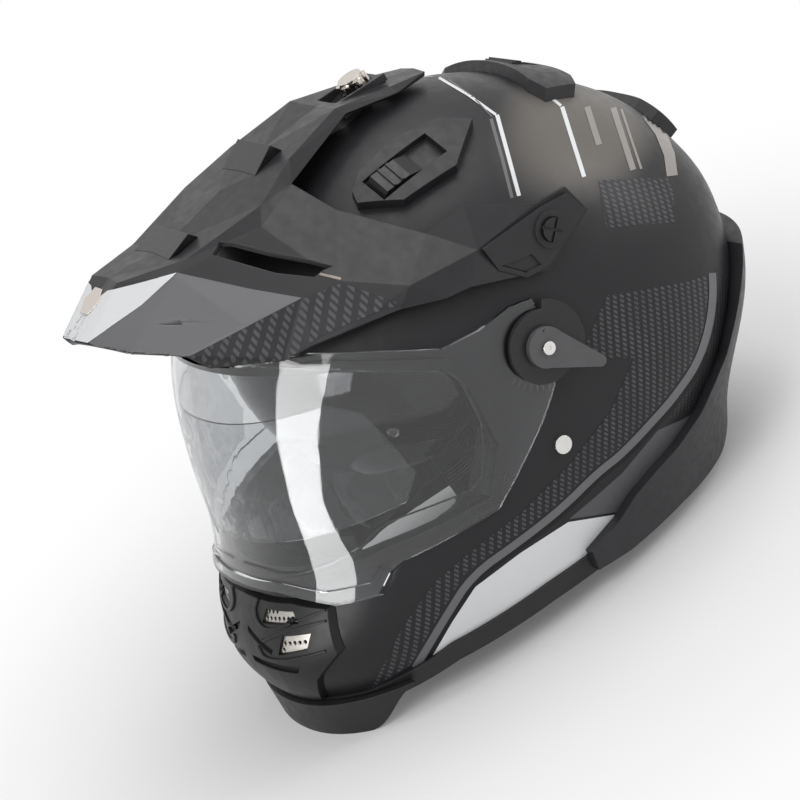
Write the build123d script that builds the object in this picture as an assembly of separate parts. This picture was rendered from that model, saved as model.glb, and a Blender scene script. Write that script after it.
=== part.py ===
"""Dual sport helmet with a peak, a hinged face shield and an inner sun visor.

Millimetres. +X is the wearer's left, -Y the way the wearer looks, +Z up. The helmet stands on a
table on its chin curtain and rear bumper, tipped back as it rests there, so all places are
given in that standing pose. Outlines are shares of the shell's own sizes. Places are worked out
with the face shield's pivot axis at y = 0, and every piece is moved at the end so that the
whole helmet is centred over the origin.
"""
from build123d import *
from math import cos, hypot, pi, radians, sin
import os

# Shell: overall form, reaches from the shield's pivot axis
SHELL_HEIGHT = 273.0
SHELL_HALF_WIDTH = 120.0
CHIN_REACH = 185.0
REAR_REACH = 168.0
PIVOT_HEIGHT = 150.0
SHELL_WALL = 4.0
SHELL_LIFT = 5.0
FRONT_POWER_SHARE = 2.2
OUTLINE_POINTS = 28
OVERRUN = 30.0
SEAT_GAP = 0.3
LAP = 0.05

# Levels of the form: height, front, rear and half width shares, and the rear corners' power
LEVEL_SHARES = (
    (0.000, 0.865, 0.655, 0.800, 2.2),
    (0.070, 0.957, 0.702, 0.867, 2.4),
    (0.176, 1.000, 0.786, 0.933, 2.7),
    (0.267, 0.951, 0.887, 0.975, 2.9),
    (0.337, 0.886, 0.940, 0.996, 3.0),
    (0.421, 0.838, 0.982, 1.000, 3.0),
    (0.549, 0.795, 1.000, 1.000, 2.8),
    (0.685, 0.724, 0.935, 0.950, 2.5),
    (0.788, 0.627, 0.810, 0.842, 2.4),
    (0.879, 0.476, 0.625, 0.650, 2.3),
    (0.941, 0.297, 0.452, 0.442, 2.2),
    (0.974, 0.157, 0.298, 0.283, 2.1),
    (0.995, 0.027, 0.173, 0.133, 2.0),
)

# Side outlines: shares of the chin reach along Y and of the shell height along Z
RIM_SHARES = (
    (-1.30, 0.030), (-0.86, 0.034), (-0.62, 0.064), (-0.30, 0.058), (-0.05, 0.044),
    (0.20, 0.036), (0.40, 0.020), (0.58, 0.000), (1.10, 0.000),
)
EYEPORT_SHARES = (
    (-1.30, 0.345), (-0.62, 0.360), (-0.34, 0.350), (-0.245, 0.430), (-0.235, 0.560),
    (-0.27, 0.620), (-0.50, 0.710), (-0.70, 0.760), (-1.30, 0.800),
)
SHIELD_SHARES = (
    (-1.30, 0.350), (-0.93, 0.337), (-0.89, 0.330), (-0.83, 0.298), (-0.72, 0.287),
    (-0.67, 0.315), (-0.62, 0.326), (-0.34, 0.322), (-0.25, 0.358), (-0.10, 0.421),
    (0.010, 0.480), (0.050, 0.560), (0.050, 0.636), (-0.02, 0.649), (-0.13, 0.646),
    (-0.24, 0.655), (-0.38, 0.710), (-0.53, 0.762), (-1.30, 0.800),
)
SHIELD_LIP_SHARES = (
    (-1.30, 0.350), (-0.93, 0.337), (-0.89, 0.330), (-0.83, 0.298), (-0.72, 0.287),
    (-0.67, 0.315), (-0.69, 0.336), (-0.73, 0.316), (-0.83, 0.326), (-0.89, 0.356),
    (-1.30, 0.372),
)
FOG_INSERT_SHARES = (
    (-1.30, 0.425), (-0.53, 0.425), (-0.47, 0.470), (-0.50, 0.620), (-0.56, 0.660),
    (-1.30, 0.690),
)
CHIN_SHARES = ((-1.30, -0.10), (-0.40, -0.10), (-0.40, 0.315), (-1.30, 0.330))
BUMPER_SHARES = (
    (-0.15, 0.060), (-0.15, 0.110), (-0.03, 0.128), (0.05, 0.150), (0.15, 0.161),
    (0.25, 0.166), (0.38, 0.185), (0.55, 0.240), (0.68, 0.320), (0.80, 0.385),
    (1.20, 0.400), (1.20, -0.05), (0.30, -0.05), (0.00, 0.04),
)
CHEEK_PAD_SHARES = (
    (-0.42, 0.130), (0.20, 0.120), (0.30, 0.180), (0.28, 0.285), (0.02, 0.300),
    (-0.30, 0.298), (-0.42, 0.270),
)
VISOR_SHARES = (
    (-1.30, 0.400), (-0.35, 0.400), (-0.16, 0.480), (-0.02, 0.560), (-0.02, 0.660),
    (-0.20, 0.700), (-0.30, 0.760), (-0.40, 0.860), (-1.30, 1.000),
)

# Front outlines: shares of the half width along X and of the shell height along Z
CHIN_COVER_SHARES = (
    (0.00, 0.314), (0.37, 0.308), (0.55, 0.288), (0.56, 0.200), (0.41, 0.150),
    (0.30, 0.085), (0.00, 0.070),
)
UPPER_WINDOW_SHARES = ((0.17, 0.272), (0.20, 0.298), (0.38, 0.294), (0.41, 0.272))
LOWER_WINDOW_SHARES = ((0.27, 0.215), (0.31, 0.252), (0.47, 0.252), (0.44, 0.222))
LOUVRE_SHARES = (
    ((0.04, 0.250), (0.04, 0.262), (0.24, 0.226), (0.22, 0.214)),
    ((0.04, 0.190), (0.04, 0.204), (0.38, 0.190), (0.34, 0.172)),
)
GUARD_SHARES = (
    (0.00, 0.410), (0.08, 0.408), (0.20, 0.370), (0.42, 0.350), (0.44, 0.250), (0.00, 0.235),
)

# Liners and pads
FOAM_GAP = 0.3
FOAM_INSET = 32.0
CHIN_FOAM_INSET = 27.0
FOAM_RIM_LIFT = 16.0
EYEPORT_SETBACK = 7.0
CROWN_PAD_INSET = 41.0
CROWN_PAD_FLOOR = 122.0
CHEEK_PAD_INSET = 60.0
NECK_ROLL_INSET = 46.0
NECK_ROLL_FRONT = 58.0
NECK_ROLL_HEIGHT = 34.0
GUARD_THICKNESS = 2.0
CHANNEL_WIDTH = 12.0
CHANNEL_DEPTH = 12.0
CHANNEL_SIDE_DEPTH = 24.0
CHANNEL_FRONT = 62.0
CHANNEL_REAR = 112.0
CHANNEL_PITCH = 44.0

# Rim trim, bumper, curtain and gasket
TRIM_STAND_OFF = 2.5
TRIM_DEPTH = 7.0
TRIM_HEIGHT = 13.0
BUMPER_STAND_OFF = 9.0
CURTAIN_HEIGHT = 20.5
CURTAIN_THICKNESS = 6.0
CURTAIN_BACK = 140.0
GASKET_STAND_OFF = 4.4
GASKET_WIDTH = 6.0
CHIN_COVER_STAND_OFF = 4.2
MESH_THICKNESS = 0.8
MESH_MARGIN = 1.6
MESH_HOLE_RADIUS = 1.1
MESH_PITCH = 3.4

# Face shield and its pivots
SHIELD_GAP = 4.8
SHIELD_THICKNESS = 2.2
LIP_STAND_OFF = 1.6
FOG_INSERT_THICKNESS = 1.1
FOG_PIN_RADIUS = 2.5
FOG_PIN_REACH = 86.0
FOG_PIN_HEIGHT = 153.0
FOG_PIN_LENGTH = 1.6
HUB_BOSS_RADIUS = 8.0
RUNNING_GAP = 0.08
BASE_RADIUS = 12.0
POD_RADIUS = 20.0
POD_REAR_RADIUS = 25.0
POD_THICKNESS = 3.0
POD_WALL = 2.5
POD_WALL_FROM = -62.0
POD_WALL_TO = 22.0
SECTOR_STEP = 15.0
LEVER_HUB_RADIUS = 11.0
LEVER_LENGTH = 37.0
LEVER_THICKNESS = 3.6
LEVER_TIP_RADIUS = 3.2
LEVER_ANGLE = -48.0
SCREW_RADIUS = 2.5
SCREW_HEAD_RADIUS = 3.6
SCREW_HEAD_HEIGHT = 1.6

# Sun visor: a piece of a spheroid about its own pins
VISOR_AXIS_REACH = 20.0
VISOR_AXIS_HEIGHT = 165.0
VISOR_RADIUS = 90.0
VISOR_HALF_WIDTH = 104.0
VISOR_THICKNESS = 2.0
VISOR_POCKET_GAP = 3.0
VISOR_POCKET_DROP = 48.0
VISOR_EAR_RADIUS = 9.0
VISOR_PIN_RADIUS = 3.0
VISOR_PIN_HEAD = 5.5
SLIDER_LENGTH = 26.0
SLIDER_WIDTH = 7.0
SLIDER_HEIGHT = 7.0
SLIDER_TRAVEL = 18.0
SLIDER_REACH = 10.0
SLIDER_INSET = 26.0
SLIDER_GROOVES = 4
SLIDER_TRACK_LENGTH = 56.0
SLIDER_TRACK_FLOOR = 22.0

# Crown, top and rear vents, each on a plane of its own
CROWN_VENT_AT = (66.0, 12.0, 249.0)
CROWN_VENT_NORMAL_SHARES = (0.60, 0.02, 0.80)
CROWN_VENT_LENGTH = 80.0
CROWN_VENT_WIDTH = 38.0
CROWN_VENT_SHARES = (
    (-0.48, -0.02), (-0.44, -0.24), (-0.31, -0.42), (0.03, -0.50), (0.36, -0.34),
    (0.52, 0.00), (0.17, 0.50), (-0.26, 0.43),
)
VENT_STAND_OFF = 6.0
VENT_POCKET_WIDTH = 18.0
VENT_BUTTON_LENGTH = 27.0
VENT_BUTTON_WIDTH = 14.0
VENT_BUTTON_HEIGHT = 5.0
VENT_TRAVEL = 9.0
VENT_RECESS_LENGTH = 6.0
VENT_FLOOR = 1.0
VENT_POCKET_LENGTH = VENT_BUTTON_LENGTH + VENT_TRAVEL + VENT_RECESS_LENGTH + 2 * VENT_FLOOR
VENT_HOLE_LENGTH = 10.0
VENT_HOLE_WIDTH = 8.0
BUTTON_SHARES = ((0, 0), (0.12, 1), (0.70, 1), (1, 0.4), (1, 0))
BUTTON_RIDGE_SHARES = (0.30, 0.50)
RIDGE_WIDTH = 1.4
RIDGE_HEIGHT = 1.0
TOP_VENT_AT = (0.0, 115.0, 233.3)
TOP_VENT_NORMAL_SHARES = (0.0, 0.62, 0.78)
TOP_VENT_LENGTH = 30.0
TOP_VENT_WIDTH = 118.0
TOP_VENT_SHARES = (
    (-0.50, -0.40), (-0.34, -0.50), (0.34, -0.46), (0.50, -0.34), (0.50, 0.34),
    (0.34, 0.46), (-0.34, 0.50), (-0.50, 0.40),
)
TOP_POCKET_WIDTH = 34.0
TOP_BUTTON_LENGTH = 11.0
TOP_BUTTON_WIDTH = 30.0
TOP_TRAVEL = 6.0
TOP_POCKET_LENGTH = TOP_BUTTON_LENGTH + TOP_TRAVEL + 3 * VENT_FLOOR
EXHAUST_AT = (0.0, 160.0, 172.0)
EXHAUST_NORMAL_SHARES = (0.0, 0.96, 0.26)
EXHAUST_LENGTH = 26.0
EXHAUST_WIDTH = 96.0
EXHAUST_SHARES = (
    (-0.50, -0.34), (-0.30, -0.50), (0.50, -0.42), (0.50, 0.42), (-0.30, 0.50), (-0.50, 0.34),
)
EXHAUST_STAND_OFF = 6.0
EXHAUST_SLOT_LENGTH = 30.0
EXHAUST_SLOT_HEIGHT = 6.0
EXHAUST_PITCH = 40.0
EXHAUST_ROOF = 1.6

# Peak: vertices of its outer skin as shares of the half width, chin reach and shell height
PEAK_SKIN = 2.6
PEAK_SHARES = {
    "tip": (0.000, -0.973, 0.960), "nose": (0.000, -0.773, 1.018),
    "floor_1": (0.000, -0.584, 1.000), "floor_2": (0.000, -0.357, 1.024),
    "floor_3": (0.000, -0.184, 1.040), "floor_4": (0.000, 0.032, 1.044),
    "floor_5": (0.000, 0.216, 1.016), "tab_end": (0.000, 0.357, 0.986),
    "tip_side": (0.075, -0.968, 0.964), "nose_side": (0.140, -0.785, 1.020),
    "crest_1": (0.290, -0.605, 0.998), "crest_2": (0.400, -0.357, 1.012),
    "crest_3": (0.300, -0.190, 1.038), "crest_4": (0.225, 0.022, 1.052),
    "crest_5": (0.190, 0.216, 1.014), "tab_side": (0.115, 0.352, 0.984),
    "edge_0": (0.130, -0.951, 0.954), "edge_1": (0.320, -0.665, 0.990),
    "edge_2": (0.450, -0.400, 0.985), "edge_3": (0.340, -0.232, 1.000),
    "edge_4": (0.250, 0.040, 1.034), "edge_5": (0.210, 0.220, 0.998),
    "front": (0.320, -0.892, 0.920), "corner": (0.510, -0.795, 0.876),
    "flank_1": (0.640, -0.632, 0.878), "flank_2": (0.733, -0.465, 0.868),
    "flank_3": (0.792, -0.362, 0.862), "rear_1": (0.550, -0.205, 0.938),
    "flank_4": (0.850, -0.081, 0.840), "flank_5": (0.900, 0.049, 0.846),
    "flank_6": (1.008, 0.211, 0.780), "flank_7": (1.008, 0.314, 0.769),
    "flank_8": (1.008, 0.341, 0.703), "low_0": (0.515, -0.757, 0.830),
    "low_1": (0.750, -0.605, 0.792), "low_2": (0.817, -0.535, 0.796),
    "low_3": (0.885, -0.454, 0.790), "low_4": (0.985, -0.292, 0.774),
    "low_5": (1.030, -0.168, 0.742), "low_6": (1.050, -0.092, 0.733),
    "low_7": (1.008, 0.151, 0.652), "bulge_1": (0.985, -0.232, 0.800),
    "bulge_2": (1.008, -0.011, 0.777),
}
PEAK_FACES = (
    ("tip", "tip_side", "nose_side", "nose"), ("nose", "nose_side", "crest_1", "floor_1"),
    ("floor_1", "crest_1", "crest_2", "floor_2"), ("floor_2", "crest_2", "crest_3", "floor_3"),
    ("floor_3", "crest_3", "crest_4", "floor_4"), ("floor_4", "crest_4", "crest_5", "floor_5"),
    ("floor_5", "crest_5", "tab_side", "tab_end"), ("tip_side", "edge_0", "nose_side"),
    ("edge_0", "edge_1", "nose_side"), ("nose_side", "edge_1", "crest_1"),
    ("crest_1", "edge_1", "edge_2", "crest_2"), ("crest_2", "edge_2", "edge_3", "crest_3"),
    ("crest_3", "edge_3", "edge_4", "crest_4"), ("crest_4", "edge_4", "edge_5", "crest_5"),
    ("crest_5", "edge_5", "tab_side"), ("edge_0", "front", "edge_1"),
    ("edge_1", "front", "corner"), ("edge_1", "corner", "flank_1"),
    ("edge_1", "flank_1", "flank_2", "edge_2"), ("edge_2", "flank_2", "flank_3"),
    ("edge_2", "flank_3", "rear_1", "edge_3"), ("rear_1", "flank_3", "flank_4"),
    ("corner", "low_0", "low_1", "flank_1"), ("flank_1", "low_1", "flank_2"),
    ("flank_2", "low_1", "low_2", "flank_3"), ("flank_3", "low_2", "low_3"),
    ("flank_3", "low_3", "bulge_1", "flank_4"), ("low_3", "low_4", "bulge_1"),
    ("bulge_1", "low_4", "low_5"), ("bulge_1", "low_5", "bulge_2"),
    ("low_5", "low_6", "bulge_2"), ("flank_4", "bulge_1", "bulge_2", "flank_5"),
    ("bulge_2", "low_6", "low_7"), ("flank_5", "bulge_2", "flank_6"),
    ("bulge_2", "low_7", "flank_6"),
    ("flank_6", "low_7", "flank_8", "flank_7"),
)


# Peak: slots in plan as shares of the half width and chin reach, its screws, tab well and knob
LONG_SLOT_SHARES = (
    (0.375, -0.551), (0.350, -0.508), (0.520, -0.440), (0.733, -0.340), (0.717, -0.400),
    (0.600, -0.465),
)
SHORT_SLOT_SHARES = ((0.340, -0.795), (0.400, -0.760), (0.550, -0.670), (0.420, -0.735))
PEAK_AXIS_REACH = 38.5
PEAK_AXIS_HEIGHT = 197.0
PEAK_PLATE_X_SHARE = 1.008
INSERT_SHARES = (
    (0.000, 0.775), (0.211, 0.770), (0.305, 0.760), (0.330, 0.708), (0.150, 0.664),
    (0.075, 0.672), (0.010, 0.720),
)
INSERT_POCKET_SHARES = ((0.020, 0.725), (0.075, 0.712), (0.120, 0.706), (0.130, 0.676), (0.075, 0.682))
INSERT_THICKNESS = 2.4
INSERT_RING_RADIUS = 10.0
INSERT_RING_HEIGHT = 1.2
SIDE_SCREW_RADIUS = 6.4
SIDE_SCREW_HEIGHT = 3.4
SIDE_SHANK_RADIUS = 3.0
SIDE_SHANK_LENGTH = 6.0
SIDE_BOSS_RADIUS = 9.0
COIN_SLOT_WIDTH = 1.6
COIN_SLOT_DEPTH = 1.4
COIN_SLOT_TURN = 45.0
WELL_FLOOR_RADIUS = 80.5
WELL_FLOOR_THICKNESS = 2.4
WELL_HALF_WIDTH = 11.0
WELL_WALL = 1.8
WELL_FRONT_SHARE = 0.065
WELL_BACK_SHARE = 0.240
WELL_STEPS = 6
KNOB_AT_SHARE = 0.168
KNOB_RADIUS = 9.2
KNOB_HEIGHT = 7.5
KNOB_LOBES = 6
KNOB_LOBE_RADIUS = 2.6
KNOB_GRIP_SHARE = 0.8
STUD_RADIUS = 2.5
STUD_FOOT_RADIUS = 6.0
STUD_SLOT_GAP = 0.5
STUD_SLOT_FRONT = 9.5
STUD_SLOT_BACK = 10.0
SCOOP_SHARES = (
    ((-0.640, 1.000), (-0.540, 1.020), (-0.520, 1.004)),
    ((-0.300, 1.022), (-0.190, 1.062), (-0.160, 1.034)),
)
SCOOP_HALF_WIDTHS = (22.0, 20.0)
SCOOP_WALL = 1.6
EMBLEM_RADIUS = 9.0
EMBLEM_THICKNESS = 1.6
EMBLEM_AT_SHARE = 0.62
EMBLEM_SIDES = 6

# Retention: straps, rings and rivets
STRAP_AT = 14.0
STRAP_WIDTH = 20.0
STRAP_THICKNESS = 2.0
STRAP_SHARES = ((0.700, 0.376), (0.700, 0.320), (0.440, 0.320), (0.405, 0.285), (0.380, 0.190))
BUCKLE_END_SHARES = ((0.215, 0.122),)
TAIL_END_SHARES = ((0.330, 0.105), (0.315, 0.040))
RIVET_RADIUS = 5.0
RIVET_HEIGHT = 1.4
RIVET_SHANK_RADIUS = 2.4
RIVET_AT_HEIGHT = 94.0
RIVET_WASHER_THICKNESS = 1.2
LOOP_RADIUS = 6.0
LOOP_BORE = 4.4
RING_WIRE = 1.7
RING_WIDTH = 27.0
RING_DROP = 19.0
RING_TOP_CORNER = 2.0
RING_LOW_CORNER = 8.0
RING_SPACING = 2.1


def plan_wire(height, front, rear, half, rear_power):
    """Closed plan curve at one height: rounder in front, squarer behind."""
    middle = (rear - front) / 2
    reach = (rear + front) / 2
    points = []
    for step in range(OUTLINE_POINTS):
        turn = 2 * pi * step / OUTLINE_POINTS + pi / 2
        power = rear_power if sin(turn) >= 0 else FRONT_POWER_SHARE
        across = abs(cos(turn)) ** (2 / power)
        along = abs(sin(turn)) ** (2 / power)
        x = half * across * (1 if cos(turn) >= 0 else -1)
        y = middle + reach * along * (1 if sin(turn) >= 0 else -1)
        points.append((x, y, height))
    return Wire([Edge.make_spline([Vector(*p) for p in points], periodic=True)])


FORMS = {}


def form(inset):
    """Solid inside the helmet's outer form, drawn in all round by inset."""
    if inset not in FORMS:
        wires = []
        for z, front, rear, half, power in LEVEL_SHARES:
            wires.append(plan_wire(
                z * (SHELL_HEIGHT - inset), front * (CHIN_REACH - inset),
                rear * (REAR_REACH - inset), half * (SHELL_HALF_WIDTH - inset), power))
        FORMS[inset] = Solid.make_loft(wires)
    return FORMS[inset]


WIDE = SHELL_HALF_WIDTH + OVERRUN
TALL = SHELL_HEIGHT + OVERRUN


def side_points(shares):
    """Side outline in millimetres along Y and Z."""
    return [(y * CHIN_REACH, z * SHELL_HEIGHT) for y, z in shares]


def side_prism(points, low_x=-WIDE, high_x=WIDE, grow=0):
    """Prism across the helmet over a side outline."""
    face = make_face(Polyline(*points, close=True))
    if grow:
        face = offset(face, amount=grow, kind=Kind.INTERSECTION)
    return extrude(Plane.YZ.offset(low_x) * face, amount=high_x - low_x)


def front_prism(shares, mirrored=False):
    """Prism running forward from the middle over an outline seen from the front."""
    points = [(x * SHELL_HALF_WIDTH, z * SHELL_HEIGHT) for x, z in shares]
    if mirrored:
        points += [(-x, z) for x, z in reversed(points) if x > 0]
    return extrude(Plane.XZ * make_face(Polyline(*points, close=True)), amount=CHIN_REACH + OVERRUN)


def plan_prism(shares):
    """Upright prism over an outline seen from above."""
    points = [(x * SHELL_HALF_WIDTH, y * CHIN_REACH) for x, y in shares]
    return extrude(make_face(Polyline(*points, close=True)), amount=TALL)


def above_rim(lift):
    """Everything over the lower rim's line, raised by lift."""
    line = side_points(RIM_SHARES)
    back, front = line[-1][0], line[0][0]
    return Pos(0, 0, lift) * side_prism(line + [(back, TALL), (front, TALL)])


def slab(low, high):
    """Block between two (x, y, z) corners."""
    size = [b - a for a, b in zip(low, high)]
    middle = [(a + b) / 2 for a, b in zip(low, high)]
    return Pos(*middle) * Box(*size)


def across(radius, low_x, high_x, y, z):
    """Cylinder along X."""
    return Pos((low_x + high_x) / 2, y, z) * Rot(0, 90, 0) * Cylinder(radius, high_x - low_x)


def other_side(shape):
    """Mirror image on the wearer's other side."""
    return mirror(shape, about=Plane.YZ)


def only_solid(shape):
    """Largest solid of a shape, without slivers that a cut left."""
    return max(shape.solids(), key=lambda solid: solid.volume)


def side_outline_prism(shares, grow=0):
    """Prism across the helmet over an outline given in shares."""
    return side_prism(side_points(shares), grow=grow)


def window_holes():
    """Prisms of the four windows in the chin bar."""
    holes = []
    for shares in (UPPER_WINDOW_SHARES, LOWER_WINDOW_SHARES):
        hole = front_prism(shares)
        holes += [hole, other_side(hole)]
    return holes


def rivet_hole():
    """Cylinder through both sides for the strap rivets' shanks."""
    return across(RIVET_SHANK_RADIUS + LAP, -WIDE, WIDE, -STRAP_AT, RIVET_AT_HEIGHT)


def outer_shell():
    """Moulded shell with its eyeport, vent holes and fixing holes."""
    shell = (form(0) & above_rim(SHELL_LIFT)) - form(SHELL_WALL)
    cutters = [side_outline_prism(EYEPORT_SHARES)] + window_holes() + exhaust_holes()
    cutters += [vent_hole(plane) for plane in crown_planes()]
    cutters += [rivet_hole(), across(SCREW_RADIUS + LAP, -WIDE, WIDE, 0, PIVOT_HEIGHT)]
    return only_solid(shell - cutters)


def foam_channels():
    """Front-to-rear air channels along the top of the impact liner."""
    cutters = []
    for place in (-1, 0, 1):
        middle = place * CHANNEL_PITCH
        depth = CHANNEL_SIDE_DEPTH if place else CHANNEL_DEPTH
        low = (middle - CHANNEL_WIDTH / 2, -CHANNEL_FRONT, SHELL_HEIGHT - SHELL_WALL - depth)
        cutters.append(slab(low, (middle + CHANNEL_WIDTH / 2, CHANNEL_REAR, TALL)))
    return cutters


def visor_spheroid(grow=0):
    """Spheroid about the sun visor's axis."""
    unit = Sphere(1)
    radius = VISOR_RADIUS + grow
    half = VISOR_HALF_WIDTH + grow
    body = scale(unit, by=(half, radius, radius))
    return Pos(0, -VISOR_AXIS_REACH, VISOR_AXIS_HEIGHT) * body


def impact_liner():
    """Foam liner with the sun visor's pocket in its brow."""
    liner = (form(SHELL_WALL + FOAM_GAP) & above_rim(FOAM_RIM_LIFT)) - form(FOAM_INSET)
    pocket_half = VISOR_HALF_WIDTH + VISOR_POCKET_GAP
    pocket = slab((-pocket_half, -WIDE * 2, VISOR_AXIS_HEIGHT - VISOR_POCKET_DROP),
                  (pocket_half, VISOR_AXIS_REACH, TALL))
    pocket -= visor_spheroid(-VISOR_POCKET_GAP)
    recess = across(VISOR_EAR_RADIUS + VISOR_POCKET_GAP, ear_x() - 2 * VISOR_THICKNESS, pocket_half,
                    -VISOR_AXIS_REACH, VISOR_AXIS_HEIGHT)
    cutters = [side_outline_prism(shares, grow=EYEPORT_SETBACK) for shares in (EYEPORT_SHARES, CHIN_SHARES)]
    cutters += [pocket, recess, other_side(recess), rivet_hole()] + foam_channels()
    cutters.append(across(VISOR_PIN_HEAD + FOAM_GAP, -WIDE, WIDE, -VISOR_AXIS_REACH, VISOR_AXIS_HEIGHT))
    return only_solid(liner - cutters)


def chin_liner():
    """Foam block inside the chin bar."""
    zone = (Pos(0, -FOAM_GAP, -FOAM_GAP) * side_outline_prism(CHIN_SHARES)) & above_rim(FOAM_RIM_LIFT)
    zone -= side_outline_prism(EYEPORT_SHARES, grow=FOAM_GAP)
    return only_solid((form(SHELL_WALL + FOAM_GAP) & zone) - form(CHIN_FOAM_INSET))


def crown_pad():
    """Removable comfort pad of the crown."""
    zone = slab((-WIDE, -WIDE * 2, CROWN_PAD_FLOOR), (WIDE, WIDE * 2, TALL))
    zone -= side_outline_prism(EYEPORT_SHARES, grow=EYEPORT_SETBACK + FOAM_GAP)
    return only_solid((form(FOAM_INSET + FOAM_GAP) & zone) - form(CROWN_PAD_INSET))


def cheek_pad():
    """Cheek pad of the wearer's left side."""
    zone = side_prism(side_points(CHEEK_PAD_SHARES), low_x=0)
    return only_solid((form(FOAM_INSET + FOAM_GAP) & zone) - form(CHEEK_PAD_INSET))


def neck_roll():
    """Padded roll along the inside of the rear rim."""
    floor = RIM_SHARES[0][1] * SHELL_HEIGHT + FOAM_RIM_LIFT
    zone = slab((-WIDE, NECK_ROLL_FRONT, floor), (WIDE, WIDE * 2, floor + NECK_ROLL_HEIGHT))
    return only_solid((form(FOAM_INSET + FOAM_GAP) & zone) - form(NECK_ROLL_INSET))


def rim_trim():
    """Rubber edging round the lower rim, with a groove that the shell's edge sits in."""
    band = above_rim(0) - above_rim(TRIM_HEIGHT)
    trim = (form(-TRIM_STAND_OFF) & band) - form(TRIM_DEPTH)
    groove = (form(0) & (above_rim(SHELL_LIFT) - above_rim(TRIM_HEIGHT + SHELL_LIFT))) - form(SHELL_WALL)
    return only_solid(trim - groove)


def rear_bumper():
    """Neck bumper wrapped round the lower rear."""
    zone = side_outline_prism(BUMPER_SHARES) & above_rim(0)
    bumper = (form(-BUMPER_STAND_OFF) & zone) - form(0)
    return only_solid(bumper - (form(-TRIM_STAND_OFF) - above_rim(TRIM_HEIGHT)))


def chin_curtain():
    """Wind curtain under the chin, which the front of the helmet stands on."""
    z, front, rear, half, power = LEVEL_SHARES[2]
    rings = []
    for inset in (0, CURTAIN_THICKNESS):
        wire = plan_wire(0, front * (CHIN_REACH - inset), rear * (REAR_REACH - inset),
                         half * (SHELL_HALF_WIDTH - inset), power)
        rings.append(extrude(make_face(wire), amount=CURTAIN_HEIGHT))
    curtain = rings[0] - rings[1]
    curtain &= slab((-WIDE, -WIDE * 2, 0), (WIDE, -CURTAIN_BACK, TALL))
    curtain -= form(-TRIM_STAND_OFF - SEAT_GAP) & above_rim(-SEAT_GAP)
    cover = Pos(0, 0, -SEAT_GAP) * front_prism(CHIN_COVER_SHARES, mirrored=True)
    curtain -= form(-CHIN_COVER_STAND_OFF - SEAT_GAP) & cover
    return only_solid(curtain)


def eyeport_gasket():
    """Rubber seal round the eyeport that the face shield closes on."""
    zone = side_outline_prism(EYEPORT_SHARES, grow=GASKET_WIDTH) - side_outline_prism(EYEPORT_SHARES)
    gasket = (form(-GASKET_STAND_OFF) & zone) - form(0)
    cover = front_prism(CHIN_COVER_SHARES, mirrored=True)
    return only_solid(gasket - (cover & form(-GASKET_STAND_OFF)))


def chin_vent_cover():
    """Chin vent cover with two windows and two louvres a side."""
    cover = (form(-CHIN_COVER_STAND_OFF) & front_prism(CHIN_COVER_SHARES, mirrored=True)) - form(0)
    cutters = window_holes()
    for shares in LOUVRE_SHARES:
        groove = front_prism(shares) - form(-CHIN_COVER_STAND_OFF / 2)
        cutters += [groove, other_side(groove)]
    cutters.append(form(-TRIM_STAND_OFF) - above_rim(TRIM_HEIGHT))
    return only_solid(cover - cutters)


def window_points(shares, grow):
    """Corners of a chin window, spread from its middle by grow."""
    points = [(x * SHELL_HALF_WIDTH, z * SHELL_HEIGHT) for x, z in shares]
    middle_x = sum(p[0] for p in points) / len(points)
    middle_z = sum(p[1] for p in points) / len(points)
    spread = []
    for x, z in points:
        away = hypot(x - middle_x, z - middle_z)
        spread.append((x + (x - middle_x) / away * grow, z + (z - middle_z) / away * grow))
    return spread


def mesh_holes(points):
    """Staggered round holes that lie well inside an outline seen from the front."""
    inside = offset(make_face(Polyline(*points, close=True)), amount=-MESH_MARGIN)
    low = inside.bounding_box().min
    high = inside.bounding_box().max
    holes = []
    for row in range(int((high.Y - low.Y) / MESH_PITCH) + 1):
        for column in range(int((high.X - low.X) / MESH_PITCH) + 1):
            x = low.X + (column + row % 2 / 2) * MESH_PITCH
            z = low.Y + row * MESH_PITCH
            if inside.distance_to(Vector(x, z, 0)) < LAP:
                bar = Rot(90, 0, 0) * Cylinder(MESH_HOLE_RADIUS, CHIN_REACH)
                holes.append(Pos(x, -CHIN_REACH, z) * bar)
    return holes


def chin_vent_mesh():
    """Perforated plates in the four chin windows."""
    plates = []
    for shares in (UPPER_WINDOW_SHARES, LOWER_WINDOW_SHARES):
        points = window_points(shares, -LAP)
        face = Plane.XZ * make_face(Polyline(*points, close=True))
        zone = extrude(face, amount=CHIN_REACH + OVERRUN)
        plate = (form(-MESH_THICKNESS - MESH_MARGIN) & zone) - form(-MESH_MARGIN)
        plate = only_solid(plate - mesh_holes(points))
        plates += [plate, other_side(plate)]
    return Compound(children=plates)


def breath_guard():
    """Nose deflector standing up behind the chin bar."""
    inner = CHIN_FOAM_INSET + FOAM_GAP
    guard = (form(inner) & front_prism(GUARD_SHARES, mirrored=True)) - form(inner + GUARD_THICKNESS)
    return only_solid(guard)


def face_shield():
    """Clear shield with hubs at both ends and a lip along its lower edge."""
    inner, outer = -SHIELD_GAP, -SHIELD_GAP - SHIELD_THICKNESS
    shield = form(outer) & side_outline_prism(SHIELD_SHARES)
    lip = form(outer - LIP_STAND_OFF) & side_outline_prism(SHIELD_LIP_SHARES)
    hub = across(HUB_BOSS_RADIUS + RUNNING_GAP, -WIDE, WIDE, 0, PIVOT_HEIGHT)
    return only_solid((shield + lip) - [form(inner), hub])


def fog_insert():
    """Clear anti-fog insert seated inside the shield."""
    zone = side_outline_prism(FOG_INSERT_SHARES)
    return only_solid((form(-SHIELD_GAP) & zone) - form(-SHIELD_GAP + FOG_INSERT_THICKNESS))


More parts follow.
